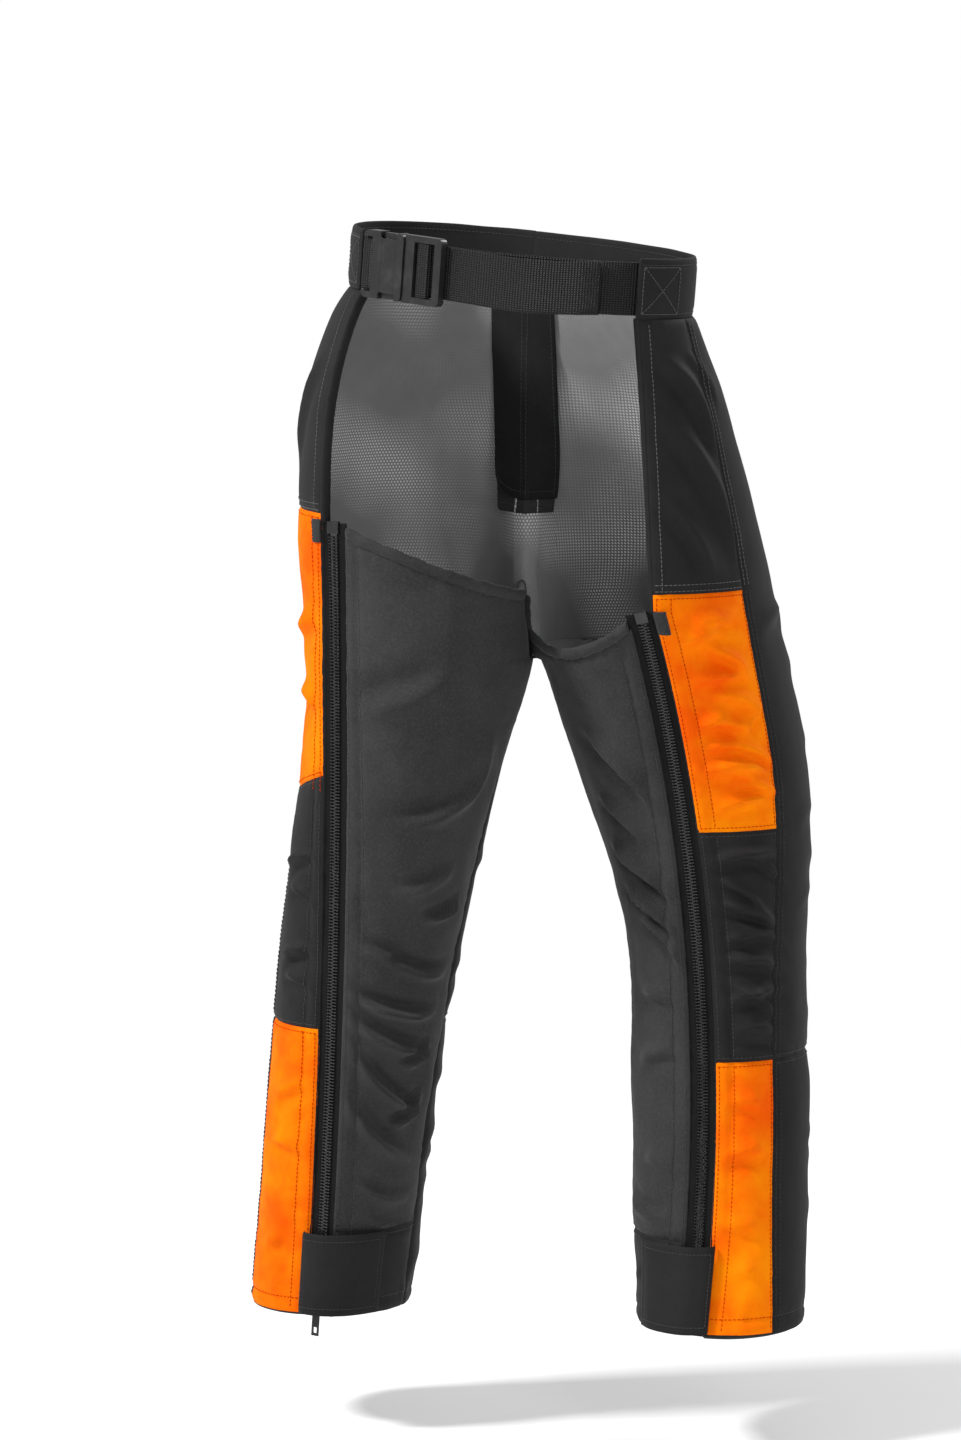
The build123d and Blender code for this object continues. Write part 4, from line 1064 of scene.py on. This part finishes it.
def rounded(points, radius, pitch=1.5):
    """A run of straight lines with its corners rounded."""
    p = [np.asarray(q, float) for q in points]
    out = [p[0]]
    for a, b, c in zip(p, p[1:], p[2:]):
        u, v = unit(a - b), unit(c - b)
        turn = math.acos(float(np.clip(u @ v, -1, 1)))
        cut = min(radius / math.tan(turn / 2), 0.49 * min(np.linalg.norm(a - b), np.linalg.norm(c - b)))
        s, e = b + u * cut, b + v * cut
        out += [s * (1 - t) ** 2 + b * 2 * t * (1 - t) + e * t * t for t in np.linspace(0, 1, 7)]
    out.append(p[-1])
    dense = [out[0]]
    for a, b in zip(out, out[1:]):
        count = max(1, int(np.linalg.norm(b - a) / pitch))
        dense += [a + (b - a) * k / count for k in range(1, count + 1)]
    keep = [dense[0]]
    for q in dense[1:]:
        if np.linalg.norm(q - keep[-1]) > 0.15:
            keep.append(q)
    return np.array(keep)


def at_waist(sign, psi, inset):
    """A place that far inside the outline of the waist."""
    place, inward = waist_point(sign, psi)
    return place + inward * inset


def at_buckle(x, z):
    """A place given along the buckle and outwards from its middle."""
    return BUCKLE + LENGTHWISE * x + OUTWARD * z


def along_waist(sign, psi):
    """Direction along the outline of the waist, towards the front."""
    inward = waist_point(sign, psi)[1]
    return np.array([sign * inward[1], -sign * inward[0]])


# right-hand strap: under the waistband, round the clip's middle bar, and back as a loose tail
psis = [RIGHT.opening + 9, RIGHT.opening - 2, 46, 34, 22, 11]
under = curve(
    [at_waist(1, p, 5.0) for p in psis] + [at_buckle(46, -7.5), at_buckle(34, -7.5)],
    -along_waist(1, psis[0]),
    -LENGTHWISE,
)
loop_places = ((34, -7.5), (18.5, -7.5), (18.5, 4.3), (31, 4.3), (35, -4.6), (48, -4.6))
loop = rounded([at_buckle(*p) for p in loop_places], 1.6)
tail_places = ((11, 0.6), (20, -1.2), (29, 0.2), (36, -0.6), (43, 0.8))
tail_points = [at_buckle(48, -4.6)] + [at_waist(1, p, d) for p, d in tail_places]
tail = curve(tail_points, LENGTHWISE, along_waist(1, 43))
bend = np.array([at_waist(1, 43.25, 1.4), at_waist(1, 43.42, 2.1), at_waist(1, 43.25, 2.85)])
fold = curve([at_waist(1, p, 3.05) for p in (43, 39.5, 36)])
cut = int(np.argmax((under - BUCKLE) @ LENGTHWISE < 46))
far_line = under[: cut + 1]
strap_far = ribbon("belt_strap_inner", far_line, wave=1.2, seed=2)
ribbon("belt_loop", np.concatenate([under[cut:-1], loop]), thickness=1.6, body="clip")
strap_tail = ribbon("belt_strap_tail", np.concatenate([tail, bend, fold]), wave=1.2, seed=5, sag=3.0)
for obj, line in ((strap_far, far_line), (strap_tail, tail)):
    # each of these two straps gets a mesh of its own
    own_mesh(obj)
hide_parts("belt_webbing_right")

# left-hand strap, sewn round the bar of the socket
psis = [LEFT.opening + 13, LEFT.opening + 7, LEFT.opening + 2]
left_run = curve(
    [at_waist(-1, p, 5.0) for p in psis] + [at_buckle(-62, -16.5), at_buckle(-53, -3.4)],
    -along_waist(-1, psis[0]),
    LENGTHWISE * 9 + OUTWARD * 13.1,
)
left_places = ((-53, -3.4), (-49, 2.4), (-39.6, 2.4), (-39.6, -2.4), (-49.3, -2.4), (-57, -13.6))
left_loop = rounded([at_buckle(*p) for p in left_places], 1.2)
strap_left = ribbon("belt_strap_left", np.concatenate([left_run[:-1], left_loop]), thickness=1.6)
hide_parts("belt_webbing_left")

# ---------------------------------------------------------------- waistband
BAND_HALF = 28
SEAM_ROWS = (2, 20)  # rows of points of the waistband that are stitched
BOX = (3.5, 46.0, -23.0, 21.0)  # of the sewn square: near and far end, bottom, top


def waistband(leg):
    """Half of the waistband, with the sewn square that holds the belt in its end."""
    line, inward = waist_point(leg.sign, np.linspace(leg.opening, 180, 150), CENTRE_SHIFT + 0.1 * leg.sign)
    h = np.linspace(-BAND_HALF, BAND_HALF, 23)
    run = lengths(line)
    from_edge = (BAND_HALF - np.abs(h))[None, :]
    d = np.minimum(np.minimum(run, run[-1] - run)[:, None], from_edge)
    seam = -0.7 * np.exp(-(((from_edge - 6.0) / 1.8) ** 2))
    uneven = 1.1 * value_noise(run[:, None] / 31, h[None, :] / 40 + 3 * leg.sign, 0)
    puff = 1.6 * (1 - np.exp(-d / 3.5)) + seam + uneven
    hh = np.broadcast_to(h[None, :], puff.shape)
    outer = line[:, None] - inward[:, None] * (0.4 + puff)[..., None]
    inner = line[:, None] + inward[:, None] * (2.6 + 0.3 * puff)[..., None]
    grids, uv = (waist_world(outer, hh), waist_world(inner, hh)), pair(run[:, None], hh)
    band = shell(f"band_{leg.side}", *grids, uv, BLACK, flip=leg.sign > 0, edge=4)
    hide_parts(f"waistband_{leg.side}")
    outs = -(inward[:, 0, None] * ACROSS + inward[:, 1, None] * FORWARD)
    for row in SEAM_ROWS:
        for grid, way in zip(grids, (1, -1)):
            stitch(grid[1:-1, row], way * outs[1:-1], pitch=3.8)

    def on_band(a, b):
        """A point of the waistband's face a from its end and b up from its middle."""
        i, j = np.interp(a, run, np.arange(len(run))), np.interp(b, h, np.arange(len(h)))
        i0, j0 = np.minimum(i.astype(int), len(run) - 2), np.minimum(j.astype(int), len(h) - 2)
        xy = blend(lambda m, k: outer[m, k], i0, j0, (i - i0)[:, None], (j - j0)[:, None])
        return waist_world(xy, b), outs[i0]

    lo, hi, bottom, head = BOX
    corners = [(lo, bottom), (hi, bottom), (hi, head), (lo, head), (lo, bottom), (hi, head)]
    for (a0, b0), (a1, b1) in [*zip(corners, corners[1:]), ((lo, head), (hi, bottom))]:
        t = np.linspace(0, 1, 30)
        p, n = on_band(a0 + (a1 - a0) * t, b0 + (b1 - b0) * t)
        stitch(p + n * 0.1, n, colour="light", pitch=3.8, radius=0.34)


for leg in LEGS:
    waistband(leg)

# light stitches across the end of the belt's tail
place, inward = waist_point(1, np.full(20, 40.0))
outs = -(inward[:, 0, None] * ACROSS + inward[:, 1, None] * FORWARD)
stitch(waist_world(place + inward * 0.35, np.linspace(-21, 21, 20)), outs, colour="light", pitch=3.6)

# ---------------------------------------------------------------- facing behind the front seam
FACING_LEFT, FACING_RIGHT = 40.0, 26.0


def facing_row(z, inset):
    """Left edge, middle and right edge of the facing at one level, inset behind the front seam."""
    middle = centre_front(z)
    arms, normals = [], []
    for leg in LEGS:
        arm = unit(leg.flat_skin(z, 1.8)[0] - middle)
        arms.append(arm)
        normals.append(np.array([leg.sign * arm[1], -leg.sign * arm[0]]))
    left, right = (arm * width for arm, width in zip(arms, (FACING_LEFT, FACING_RIGHT)))
    fold_at = middle + unit(normals[0] + normals[1]) * (inset + 1.5)
    return middle + left + normals[0] * inset, fold_at, middle + right + normals[1] * inset


def facing_layer(name, near, far, left_cut, right_cut, low, corner, colour, stitches):
    """One layer of the facing between two depths behind the front seam; its lower left corner is rounded."""
    grids, uv_rows = ([], []), []
    places = np.concatenate([np.linspace(left_cut, 0, 14), np.linspace(0, right_cut, 10)[1:]])
    w = places[:, None]
    for z in np.linspace(TOP - 1, low, 60):
        zs = np.full(len(places), z)
        ripple = value_noise(places / 13, zs / 21, 2) * 1.6 + value_noise(places / 40, zs / 70, 0) * 2.0
        for rows, inset in zip(grids, (far, near)):
            left, mid, right = facing_row(z, inset)
            to_left = mid + (left - mid) * (-w / FACING_LEFT)
            to_right = mid + (right - mid) * (w / FACING_RIGHT)
            xy = np.where(w < 0, to_left, to_right)
            xy = xy + np.array([0.0, -1.0]) * ripple[:, None]
            rows.append(np.concatenate([xy, tilted(xy[:, 0], zs)[:, None]], 1))
        uv_rows.append(np.stack([places, zs], -1))
    outer, inner = (np.array(rows) for rows in grids)
    reach = np.clip((places - left_cut) / corner, 0, 1)
    raised = corner * 0.62 * (1 - np.sqrt(1 - (1 - reach) ** 2))
    for grid in (outer, inner):
        grid[..., 2] += (np.linspace(0, 1, 60) ** 3)[:, None] * raised[None, :]
    piece = shell(name, outer, inner, np.array(uv_rows), colour)
    for kind, index in stitches:
        line = outer[1:-1, index] if kind == "down" else outer[index, 1:-1]
        stitch(line, np.tile([0.0, -1.0, 0.0], (len(line), 1)), pitch=4.0)
    return piece


facing_layer("fly_facing_lower_patch", 9.4, 10.6, -38.0, 25.0, -238.0, 4.0, CHARCOAL, [("round", -3)])
rows = [("down", 13), ("down", 21), ("round", -3), ("down", 11)]
facing = facing_layer("fly_facing_cloth", 10.8, 12.4, -39.0, FACING_RIGHT, -225.0, 36.0, TWILL, rows)
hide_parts("fly_facing")


def seam_strip(key, first, off, bulge, places):
    """A strip that joins the same panel of both legs across the front seam, bulging between them."""
    zs = np.linspace(first, CROTCH - 4, 90)
    sides = []
    for leg in LEGS:
        points = [cloth[leg.side][key].at(zs, u) for u in places]
        sides.append([p + n * (off * min(i, 1)) for i, (p, n, _) in enumerate(points)])
    ahead = unit(sides[0][-1] - sides[0][-2] + sides[1][-1] - sides[1][-2])
    tip = (sides[0][-1] + sides[1][-1]) / 2 + ahead * bulge
    knots = np.stack([*sides[0], tip, *sides[1][::-1]], 1)
    at = np.linspace(0, knots.shape[1] - 1, 41)
    k = np.clip(at.astype(int), 0, knots.shape[1] - 2)
    f = (at - k)[None, :, None]
    grid = knots[:, k] * (1 - f) + knots[:, k + 1] * f
    for _ in range(4):
        grid[:, 1:-1] = (grid[:, :-2] + 2 * grid[:, 1:-1] + grid[:, 2:]) / 4
    out = unit(np.cross(np.gradient(grid, axis=1), np.gradient(grid, axis=0)))
    if out[..., 1].mean() > 0:
        out = -out
    return zs, grid, out


for name, key, first, off, bulge, material, slot, places in (
    ("crotch_seam_lining", "lining", -241.0, -1.3, 8.0, GREY_MESH, "mesh", (1.88, 1.92, 1.955, 1.985)),
    ("centre_front_seam", "front", TOP - 1, 0.4, 0.6, BLACK, "black_fabric", (1.97, 1.985, 1.998)),
):
    zs, grid, out = seam_strip(key, first, off, bulge, places)
    half = out * (0.5 if key == "lining" else -0.5)
    uv = pair(lengths(grid[45])[None, :], zs[:, None])
    strip = shell(name, grid + half, grid - half, uv, material, flip=key != "lining")

# ---------------------------------------------------------------- flaps over the foot of each zip
FLAP_ROWS, FLAP_COLUMNS = 26, 34
FLAP_DOWN, FLAP_ALONG = 3.1, 2.6  # between rows and between columns
FLAP_OVER_ZIP = 10.8
FLAP_BEYOND = ((-0.17, 10.3), (-0.34, 7.8), (-0.5, 4.8))  # u and height over the back panel


def flap(leg):
    """The flap, from its sewn root over the slider and down to the back panel."""
    (top_root, top_n), (low_root, low_n) = leg.skin(FLAP_TOP, FLAP_ROOT), leg.skin(FLAP_FOOT, FLAP_ROOT)
    rows, normals = [], []
    for z in np.linspace(FLAP_TOP, FLAP_FOOT, FLAP_ROWS):
        t = (z - FLAP_TOP) / (FLAP_FOOT - FLAP_TOP)
        root = ((top_root + top_n * 1.5) * (1 - t) + (low_root + low_n * 1.5) * t)[:2]
        knots = [root, leg.zip_at(z) + leg.out * FLAP_OVER_ZIP]
        for u, lift in FLAP_BEYOND:
            p, inward = leg.flat_skin(z, u)
            knots.append(p - inward * lift)
        line = curve(knots, leg.out, pitch=1.0)
        run = lengths(line)
        at = np.linspace(0, run[-1], FLAP_COLUMNS)
        xy = np.stack([np.interp(at, run, line[:, k]) for k in (0, 1)], -1)
        tangent = unit(np.gradient(xy, axis=0))
        n = np.stack([tangent[:, 1], -tangent[:, 0]], -1)
        if n[FLAP_COLUMNS // 2] @ leg.out < 0:
            n = -n
        rows.append(np.concatenate([xy, np.full((FLAP_COLUMNS, 1), z)], 1))
        normals.append(np.concatenate([n, np.zeros((FLAP_COLUMNS, 1))], 1))
    mid, n = np.array(rows), np.array(normals)
    i, j = np.arange(FLAP_ROWS)[:, None], np.arange(FLAP_COLUMNS)[None, :]
    from_ends, from_sides = np.minimum(i, FLAP_ROWS - 1 - i), np.minimum(j, FLAP_COLUMNS - 1 - j)
    d = np.minimum(from_ends * FLAP_DOWN, from_sides * FLAP_ALONG)
    uneven = 0.9 * value_noise(i / 7.0, j / 9.0 + 4 * leg.sign, 2) * np.clip(j / 8, 0, 1)
    puff = 0.9 * (1 - np.exp(-d / 5)) - 0.4 * np.exp(-(((d - 6) / 1.6) ** 2)) + uneven
    outer = mid + n * (0.8 + puff)[..., None]
    uv = pair(j * FLAP_ALONG, i * FLAP_DOWN)
    body = f"flap_{leg.side}"
    obj = shell(f"zip_foot_flap_{leg.side}", outer, mid - n * 0.7, uv, BLACK, body, flip=leg.sign > 0)
    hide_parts(f"cuff_flap_{leg.side}")
    along = slice(2, -2)
    for row in ((2, along), (-3, along), (along, -3), (along, 2)):
        stitch(outer[row], n[row], body=body, pitch=3.6)


for leg in LEGS:
    flap(leg)
sew_threads()

# ---------------------------------------------------------------- the hard pieces keep their own shape
hard = {
    "buckle_socket": (PLASTIC, 0.7), "buckle_clip": (PLASTIC, 0.7),
    "buckle_prong_upper": (PLASTIC, 0.5), "buckle_prong_lower": (PLASTIC, 0.5),
}
for side in ("left", "right"):
    hard[f"zip_retainer_box_{side}"] = (TOOTH, 0.3)
    hard[f"zip_slider_{side}"] = (METAL, 0.25)
    hard[f"zip_pull_{side}"] = (METAL, 0.25)
for name, (material, width) in hard.items():
    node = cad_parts[name]
    node.data.materials.clear()
    node.data.materials.append(material)
    weld = node.modifiers.new("weld", "WELD")
    weld.merge_threshold = 0.00002
    bevel = node.modifiers.new("bevel", "BEVEL")
    bevel.width = width * MM
    bevel.segments = 3
    bevel.limit_method = "ANGLE"
    bevel.angle_limit = math.radians(38)
    bevel.harden_normals = False

# ---------------------------------------------------------------- floor, light, camera
scene = bpy.context.scene


def floor_material(name, colour, near, far):
    """Pale paint that, seen directly, fades to the white of the sky away from the object."""
    paint = Paint(name)
    base = paint.mix(paint.noise(3.0, 3.0), rgba(colour), rgba([c * 0.97 for c in colour]))
    paint.put(paint.bsdf, {"Base Color": base, "Roughness": 0.9})
    seen = paint.node("LightPath").outputs["Is Camera Ray"]
    fade = paint.math("MULTIPLY", paint.ramp(paint.vector("LENGTH", paint.where), near, far), seen)
    glow = paint.node("Emission").outputs["Emission"]
    both = paint.node("MixShader", {0: fade, 1: paint.bsdf.outputs["BSDF"], 2: glow})
    paint.put(paint.output, {"Surface": both.outputs["Shader"]})
    return paint.material


FLOOR_HALF, FLOOR_LEVEL = 14000, -1.12  # millimetres and metres
corners = [(x * FLOOR_HALF, y * FLOOR_HALF, 0.0) for x, y in ((-1, -1), (1, -1), (1, 1), (-1, 1))]
paint = floor_material("floor_paint", (0.90, 0.90, 0.90), 0.5, 2.2)
floor = new_object("floor", corners, [[0, 1, 2, 3]], None, paint)
floor.location.z = FLOOR_LEVEL

# the sky is white to the camera and half as bright as a light
world = bpy.data.worlds.new("sky")
scene.world = world
world.use_nodes = True
sky = world.node_tree
background = sky.nodes["Background"]
background.inputs[0].default_value = (1.0, 1.0, 1.0, 1)
strength = sky.nodes.new("ShaderNodeMapRange")
strength.inputs[3].default_value, strength.inputs[4].default_value = 0.5, 1.0
sky.links.new(sky.nodes.new("ShaderNodeLightPath").outputs["Is Camera Ray"], strength.inputs[0])
sky.links.new(strength.outputs[0], background.inputs[1])


def lamp(name, place, aim, size, power):
    """A rectangular light at a place, turned to what it aims at."""
    data = bpy.data.lights.new(name, "AREA")
    data.shape = "RECTANGLE"
    data.size, data.size_y = size
    data.energy = power
    obj = bpy.data.objects.new(name, data)
    obj.location = place
    obj.rotation_euler = (Vector(aim) - Vector(place)).to_track_quat("-Z", "Y").to_euler()
    scene.collection.objects.link(obj)


lamp("key", (-3.0, -2.6, 3.4), (0, 0, -0.5), (0.9, 0.9), 330)
lamp("fill", (3.9, -3.2, 1.2), (0, 0, -0.5), (1.8, 2.2), 60)
lamp("rim", (1.5, 3.0, 2.4), (0, 0, -0.4), (1.6, 1.6), 80)

camera_data = bpy.data.cameras.new("camera")
camera_data.lens = 157.9
camera_data.sensor_width = 36
camera = bpy.data.objects.new("camera", camera_data)
camera.location = (2.5010, -5.4590, 0.3593)
target = Vector((-0.0130, -0.0676, -0.4238))
camera.rotation_euler = (target - camera.location).to_track_quat("-Z", "Y").to_euler()
scene.collection.objects.link(camera)
scene.camera = camera
scene.view_settings.view_transform = "Standard"
scene.view_settings.look = "None"
